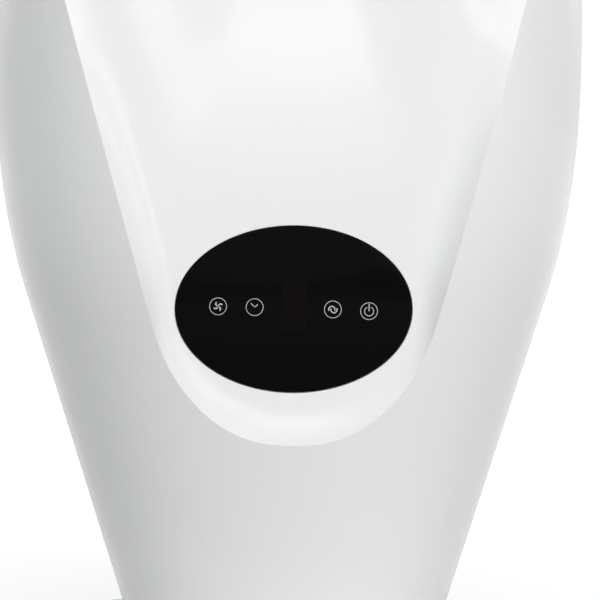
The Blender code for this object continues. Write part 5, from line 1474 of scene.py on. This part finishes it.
@dataclass
class TouchPanel:
    """The oval lens with the printed signs of its four keys and the faint display window."""

    form: TowerForm
    wardrobe: Wardrobe
    thickness: float = 0.0015
    edge_round: float = 0.0004
    edge_angle: float = math.radians(60)
    segments: int = 192
    print_height: float = 0.00004
    print_sink: float = 0.0001
    ring_radius: float = 0.00355
    ring_half_width: float = 0.00015
    ring_segments: int = 96
    ring_sides: int = 10
    line_half_width: float = 0.00017
    bold_half_width: float = 0.00024
    blade: Arc = ((0.00104, 0.00020), 0.00080, 196.0, 44.0)
    blade_count: int = 4
    blade_steps: int = 16
    blade_share: float = 1.15
    hands: tuple[Spot, ...] = ((-0.0015, 0.0016), (0.0, 0.0), (0.0013, 0.0011))
    half_turns: tuple[Arc, ...] = (((-0.00045, 0.0), 0.00132, 198.0, -12.0),
                                   ((0.00045, -0.00008), 0.00132, 168.0, 378.0))
    half_turn_steps: int = 24
    open_ring: Arc = ((0.0, -0.0001), 0.00190, 118.0, 422.0)
    open_ring_steps: int = 48
    gap_line: tuple[Spot, ...] = ((0.0, 0.0030), (0.0, 0.0002))
    window_half_width: float = 0.0051
    window_half_height: float = 0.0101
    window_corner: float = 0.0012
    window_rise: float = 0.0012
    key_spots: tuple[Spot, ...] = ((-0.0317, 0.00115), (-0.0164, 0.00086), (0.0164, 0.00002),
                                   (0.0316, -0.00064))

    def build_lens(self) -> None:
        """Build the lens: an oval disc with a softly rounded front edge."""
        form = self.form
        lens = placed(rod("lens", ZERO, 1.0, self.thickness, LYING, self.segments), "panel_disc",
                      (0.0, self.thickness / 2.0 - form.panel_plane, form.panel_z),
                      scale=(form.panel_half_width, 1.0, form.panel_half_height))
        bevelled(lens, self.edge_round, 4, self.edge_angle)
        smooth(lens)
        self.wardrobe.finish(lens, Body.TOWER, Slot.LENS, "panel_lens")

    def signs(self) -> dict[str, list[tuple[list[Spot], float]]]:
        """Draw the signs of the keys about their middle.

        Returns:
            Points and half the width of each line, by the sign's name.
        """
        thin, bold = self.line_half_width, self.bold_half_width
        blade = arc(*self.blade, self.blade_steps)
        blades = []
        for cos, sin in on_circle(1.0, self.blade_count):
            blades.append([(x * cos - z * sin, x * sin + z * cos) for x, z in blade])
        return {
            "fan": [(points, self.blade_share * bold) for points in blades],
            "clock": [([*self.hands[:2]], thin), ([*self.hands[1:]], thin)],
            "swing": [(arc(*half_turn, self.half_turn_steps), bold) for half_turn in self.half_turns],
            "power": [(arc(*self.open_ring, self.open_ring_steps), thin), ([*self.gap_line], bold)],
        }

    def build_prints(self) -> None:
        """Print the four signs, each in its ring, onto the lens."""
        bpy.ops.mesh.primitive_torus_add(major_radius=self.ring_radius, minor_radius=self.ring_half_width,
                                         major_segments=self.ring_segments, minor_segments=self.ring_sides,
                                         rotation=LYING)
        ring = placed(named(bpy.context.active_object, "ring"), "ring",
                      scale=(1.0, self.print_height / self.ring_half_width, 1.0))
        for (name, lines), (across, rise) in zip(self.signs().items(), self.key_spots):
            pieces = [copied(ring, "loop")]
            pieces += [plate_of("line", stroke(points, half_width), -self.print_height, self.print_sink)
                       for points, half_width in lines]
            key = placed(merged(pieces, "key"), f"key_print_{name}",
                         (across, -self.form.panel_plane, self.form.panel_z + rise))
            self.wardrobe.finish(key, Body.TOWER, Slot.GREY_PLASTIC, material=self.wardrobe.ink)
        bpy.data.objects.remove(ring, do_unlink=True)

    def build_window(self) -> None:
        """Build the faint display window in the panel's middle."""
        front = -self.form.panel_plane
        middle = self.form.panel_z + self.window_rise
        outline = rounded_frame(self.window_half_width, middle - self.window_half_height,
                                middle + self.window_half_height, self.window_corner)
        window = plate_of("display_window", outline, front - self.print_height / 2.0, front + self.print_sink)
        self.wardrobe.finish(window, Body.TOWER, Slot.DISPLAY, material=self.wardrobe.tint)

    def build(self) -> None:
        """Build the lens with its prints and window."""
        self.build_lens()
        self.build_prints()
        self.build_window()


@dataclass
class InletGrille:
    """The pull-off inlet grille: a curved patch of the rear skin with rows of slots."""

    form: TowerForm
    wardrobe: Wardrobe
    wall: float = 0.0026
    half_width: float = 0.062
    low: float = 0.090
    high: float = 0.205
    corner: float = 0.012
    border: float = 0.008
    slot: float = 0.0065
    slot_front: float = 0.02
    slot_corner_steps: int = 6
    bar: float = 0.0040
    bays: int = 3
    rib: float = 0.0032
    columns: int = 64
    rows: int = 48
    edge_round: float = 0.0005
    edge_angle: float = math.radians(50)

    def sheet(self) -> Piece:
        """Build the curved patch before it is trimmed.

        Returns:
            The patch.
        """
        spread = self.border / 2.0
        side = self.half_width + spread
        across, height = np.meshgrid(np.linspace(-side, side, self.columns),
                                     np.linspace(self.low - spread, self.high + spread, self.rows))
        skin = np.stack((across, self.form.rear_skin(across, height), height), axis=2)
        starts = [row * self.columns + i for row in range(self.rows - 1) for i in range(self.columns - 1)]
        faces = [(start, start + self.columns, start + self.columns + 1, start + 1) for start in starts]
        piece = meshed("grille", skin.reshape(-1, 3).tolist(), faces)
        return applied(piece, "SOLIDIFY", thickness=self.wall, offset=-1.0, use_even_offset=True)

    def slots(self) -> list[Piece]:
        """Build the cutters of all slots, modelled once and copied.

        Returns:
            The cutters.
        """
        low, high = self.low + self.border, self.high - self.border
        pitch = self.slot + self.bar
        count = int((high - low + self.bar) / pitch)
        start = (low + high - count * pitch + self.bar) / 2.0
        clear = 2.0 * (self.half_width - self.border)
        bay = (clear - (self.bays - 1) * self.rib) / self.bays
        outline = rounded_frame(bay / 2.0, 0.0, self.slot, self.slot / 3.0, self.slot_corner_steps)
        pattern = plate_of("slot", outline, self.slot_front, 2.0 * self.form.rear_depth)
        cutters = []
        for row in range(count):
            for index in range(self.bays):
                middle = (index - (self.bays - 1) / 2.0) * (bay + self.rib)
                cutters.append(copied(pattern, f"slot_{row}_{index}", (middle, 0.0, start + row * pitch)))
        bpy.data.objects.remove(pattern, do_unlink=True)
        return cutters

    def build(self) -> None:
        """Build the grille."""
        grille = self.sheet()
        outline = rounded_frame(self.half_width, self.low, self.high, self.corner)
        combine(grille, Join.KEEP, [plate_of("trim", outline, 0.0, 2.0 * self.form.rear_depth)])
        combine(grille, Join.CUT, self.slots())
        bevelled(grille, self.edge_round, 2, self.edge_angle)
        named(grille, "inlet_grating")
        smooth(grille)
        self.wardrobe.finish(grille, Body.INLET_COVER, Slot.CASING, "inlet_grille")


@dataclass
class Base:
    """The round base: its domed cover, feet, cord gland and screws."""

    wardrobe: Wardrobe
    radius: float = 0.140
    edge_z: float = 0.020
    top_z: float = 0.042
    flat_radius: float = 0.080
    wall: float = 0.003
    rim_z: float = 0.0033
    rim_round: float = 0.0012
    rim_steps: int = 5
    bore: float = 0.0143
    curve_steps: int = 30
    segments: int = 160
    foot_radius: float = 0.009
    foot_height: float = 0.003
    foot_round: float = 0.0006
    foot_angle: float = math.radians(60)
    foot_circle: float = 0.120
    foot_count: int = 6
    screw_circle: float = 0.112
    screw_count: int = 4
    screw_length: float = 0.007
    screw_radius: float = 0.0014
    plate_top: float = 0.0058
    boss_radius: float = 0.0038
    boss_segments: int = 32
    hole_segments: int = 24
    seat_share: float = 0.7
    gland_radius: float = 0.005
    gland_bore: float = 0.0032
    gland_round: float = 0.0005
    gland_flange_radius: float = 0.0063
    gland_flange: float = 0.0025
    gland_segments: int = 48
    gland_z: float = 0.013

    def curve(self, inset: float) -> list[Spot]:
        """Draw the cover's domed profile.

        Args:
            inset: How far it is moved inwards.

        Returns:
            Its points, from the upper edge to the flat top.
        """
        points = []
        for step in range(self.curve_steps + 1):
            turn = math.pi / 2.0 * step / self.curve_steps
            across, up = math.cos(turn), math.sin(turn)
            points.append((self.flat_radius + (self.radius - self.flat_radius - inset) * across,
                           self.edge_z + (self.top_z - self.edge_z - inset) * up))
        return points

    def screw_spots(self) -> list[Spot]:
        """Return the places of the screws under the base."""
        return on_circle(self.screw_circle, self.screw_count, 0.5)

    def build_cover(self) -> None:
        """Build the domed cover with its bosses, its rounded rim and the hole for the cord's gland."""
        rim = arc((self.radius - self.rim_round, self.rim_z + self.rim_round), self.rim_round, -90.0, 0.0,
                  self.rim_steps)
        lip = self.rim_round / 2.0
        profile = [*rim, *self.curve(0.0), (self.bore + lip, self.top_z), (self.bore, self.top_z - lip),
                   (self.bore, self.top_z - self.wall), *self.curve(self.wall)[::-1],
                   (self.radius - self.wall, self.rim_z)]
        cover = spun("base_dome", profile, self.segments)
        share = (self.screw_circle - self.flat_radius) / (self.radius - self.flat_radius)
        top = self.edge_z + (self.top_z - self.edge_z) * math.sqrt(1.0 - share * share)
        low, high = self.plate_top + FIT_GAP, top - self.wall * self.seat_share
        bosses, pilots = [], []
        for x, y in self.screw_spots():
            bosses.append(rod("boss", (x, y, (low + high) / 2.0), self.boss_radius, high - low,
                              segments=self.boss_segments))
            pilots.append(rod("pilot", (x, y, self.plate_top), self.screw_radius + FIT_GAP,
                              self.screw_length + 2.0 * FIT_GAP, segments=self.hole_segments))
        combine(cover, Join.ADD, bosses)
        combine(cover, Join.CUT, pilots)
        combine(cover, Join.CUT, [rod("gland_hole", (0.0, self.radius, self.gland_z),
                                      self.gland_radius + FIT_GAP, 4.0 * self.wall, LYING)])
        smooth(cover)
        self.wardrobe.finish(cover, Body.BASE, Slot.CASING, "base_cover")

    def build_feet(self) -> None:
        """Build the feet, modelled once and copied."""
        foot = rod("pattern", (0.0, 0.0, self.foot_height / 2.0), self.foot_radius, self.foot_height)
        bevelled(foot, self.foot_round, 3, self.foot_angle)
        places = [(*spot, 0.0) for spot in on_circle(self.foot_circle, self.foot_count)]
        self.wardrobe.finish_copies(foot, places, Body.BASE, Slot.RUBBER, ("rubber_foot", "foot"))

    def build_screws(self) -> None:
        """Build the screws under the base, modelled once and copied."""
        screw = placed(Screw(self.screw_length).build(), "pattern", turn=(math.pi, 0.0, 0.0))
        places = [(*spot, self.foot_height) for spot in self.screw_spots()]
        self.wardrobe.finish_copies(screw, places, Body.BASE, Slot.STEEL, ("screw_under_base", "base_screw"))

    def build_gland(self) -> None:
        """Build the rubber gland of the cord."""
        near = self.wall + FIT_GAP
        far = near + self.gland_flange
        soft = self.gland_round
        profile = [(self.gland_bore, soft), (self.gland_bore + soft, 0.0), (self.gland_radius - soft, 0.0),
                   (self.gland_radius, soft), (self.gland_radius, near), (self.gland_flange_radius, near),
                   (self.gland_flange_radius, far), (self.gland_bore, far)]
        gland = placed(spun("gland", profile, self.gland_segments), "cord_bushing",
                       (0.0, self.radius - 2.0 * FIT_GAP, self.gland_z), LYING)
        smooth(gland)
        self.wardrobe.finish(gland, Body.BASE, Slot.RUBBER, "cord_gland")

    def build(self) -> None:
        """Build all pieces of the base."""
        self.build_cover()
        self.build_feet()
        self.build_screws()
        self.build_gland()


# The studio

def aim_at(thing: bpy.types.Object, target: Point, roll: float = 0.0) -> None:
    """Turn a light or the camera to a target.

    Args:
        thing: The light or the camera.
        target: Where it looks.
        roll: Its turn about the line of sight.
    """
    aim = Vector(target) - thing.location
    thing.rotation_mode = "QUATERNION"
    thing.rotation_quaternion = aim.to_track_quat("-Z", "Y") @ Quaternion((0.0, 0.0, 1.0), roll)


@dataclass(frozen=True)
class SoftLight:
    """One large soft light, by its turn from the front, its rise, its strength and colour."""

    name: str
    turn: float
    rise: float
    watts: float
    colour: Colour = ONES
    target: Point = (0.0, 0.0, 0.25)
    distance: float = 2.4
    size: float = 1.4

    def place(self) -> Vector:
        """Find where the light stands.

        Returns:
            Its place.
        """
        turn, rise = math.radians(self.turn), math.radians(self.rise)
        away = Vector((math.sin(turn) * math.cos(rise), -math.cos(turn) * math.cos(rise), math.sin(rise)))
        return Vector(self.target) + away * self.distance

    def build(self) -> None:
        """Add the light to the scene."""
        bpy.ops.object.light_add(type="AREA", location=self.place())
        lamp = bpy.context.active_object
        lamp.name = self.name
        lamp.data.name = self.name
        lamp.data.shape = "DISK"
        lamp.data.size = self.size
        lamp.data.energy = self.watts
        lamp.data.color = self.colour
        aim_at(lamp, self.target)
        lamp.visible_camera = False


@dataclass
class Studio:
    """The pale floor, the white surroundings, the soft lights and the camera."""

    floor_radius: float = 60.0
    floor_sides: int = 96
    floor_tone: float = 0.55
    floor_roughness: float = 0.9
    floor_glow: Span = (0.62, 1.0)
    floor_reach: Span = (0.10, 1.40)
    sky: float = 0.05
    camera_place: Point = (-0.07349, -2.06829, 0.40284)
    camera_target: Point = (0.00287, -0.08071, 0.19378)
    camera_roll: float = math.radians(0.45)
    camera_reach: float = 100.0
    lens: float = 285.5
    sensor: float = 36.0
    lights: tuple[SoftLight, ...] = (
        SoftLight("left_high", -70.0, 40.0, 16.0, (0.96, 1.0, 0.99)),
        SoftLight("left_front", -50.0, 12.0, 2.5, (0.96, 1.0, 0.99)),
        SoftLight("front_low", 0.0, 12.0, 4.0),
        SoftLight("front_high", 0.0, 40.0, 21.0),
        SoftLight("right_front", 25.0, 12.0, 21.5),
        SoftLight("right_side", 80.0, 12.0, 12.0, (1.0, 0.98, 1.03)),
        SoftLight("back_left", -145.0, 16.0, 9.0),
        SoftLight("back_right", 145.0, 16.0, 9.0),
        SoftLight("back_top", 180.0, 65.0, 3.0),
    )

    def build_world(self) -> None:
        """Make the surroundings white to look at, and a soft even light on the fan."""
        world = bpy.data.worlds.new("studio_world")
        bpy.context.scene.world = world
        world.use_nodes = True
        bench = NodeBench(world.node_tree)
        strength = bench.ramp(bench.seen(), (self.sky, 1.0))
        bench.feed(bench.tree.nodes["Background"], Color=(*ONES, 1.0), Strength=strength)

    def build_floor(self) -> None:
        """Build the pale floor: white to look at, with the fan's shadow left on it."""
        bpy.ops.mesh.primitive_circle_add(vertices=self.floor_sides, radius=self.floor_radius,
                                          fill_type="NGON")
        floor = named(bpy.context.active_object, "studio_floor")
        bench = MaterialBench("floor_paper")
        bench.feed(bench.shader, Base_Color=(*[self.floor_tone] * 3, 1.0), Roughness=self.floor_roughness,
                   Specular_IOR_Level=0.0)
        away = bench.add("VectorMath", {"operation": "LENGTH"}, _0=bench.place()).outputs["Value"]
        strength = bench.ramp(away, self.floor_glow, self.floor_reach, "SMOOTHSTEP")
        glow = bench.add("Emission", Strength=strength).outputs["Emission"]
        paper = bench.shader.outputs["BSDF"]
        both = bench.add("AddShader", _0=paper, _1=glow).outputs["Shader"]
        choice = bench.add("MixShader", _0=bench.seen(), _1=paper, _2=both).outputs["Shader"]
        bench.feed(bench.tree.nodes["Material Output"], Surface=choice)
        floor.data.materials.append(bench.material)
        floor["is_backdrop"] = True

    def build_camera(self) -> None:
        """Place the camera at the photograph's viewing angle."""
        bpy.ops.object.camera_add(location=self.camera_place)
        camera = bpy.context.active_object
        camera.name = "studio_camera"
        camera.data.lens = self.lens
        camera.data.sensor_width = self.sensor
        camera.data.clip_end = self.camera_reach
        aim_at(camera, self.camera_target, self.camera_roll)
        bpy.context.scene.camera = camera

    def build(self) -> None:
        """Build the whole studio."""
        self.build_world()
        self.build_floor()
        self.build_camera()
        for light in self.lights:
            light.build()
        bpy.context.scene.view_settings.view_transform = "Standard"


def main() -> None:
    """Build the looks of the fan in order."""
    logging.basicConfig(level=logging.INFO, format="%(message)s")
    construction_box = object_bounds()
    form = TowerForm()
    wardrobe = Wardrobe()
    wardrobe.dress_nodes()
    Studio().build()
    for assembly in (Shells(form, Dish(form), wardrobe), TouchPanel(form, wardrobe),
                     InletGrille(form, wardrobe), Base(wardrobe)):
        LOG.info("building %s", type(assembly).__name__)
        assembly.build()
    boxes = {"construction": construction_box, "dressed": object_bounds()}
    json.dumps({name: [[float(v) for v in corner] for corner in box]
                                     for name, box in boxes.items()})


if __name__ == "__main__":
    main()
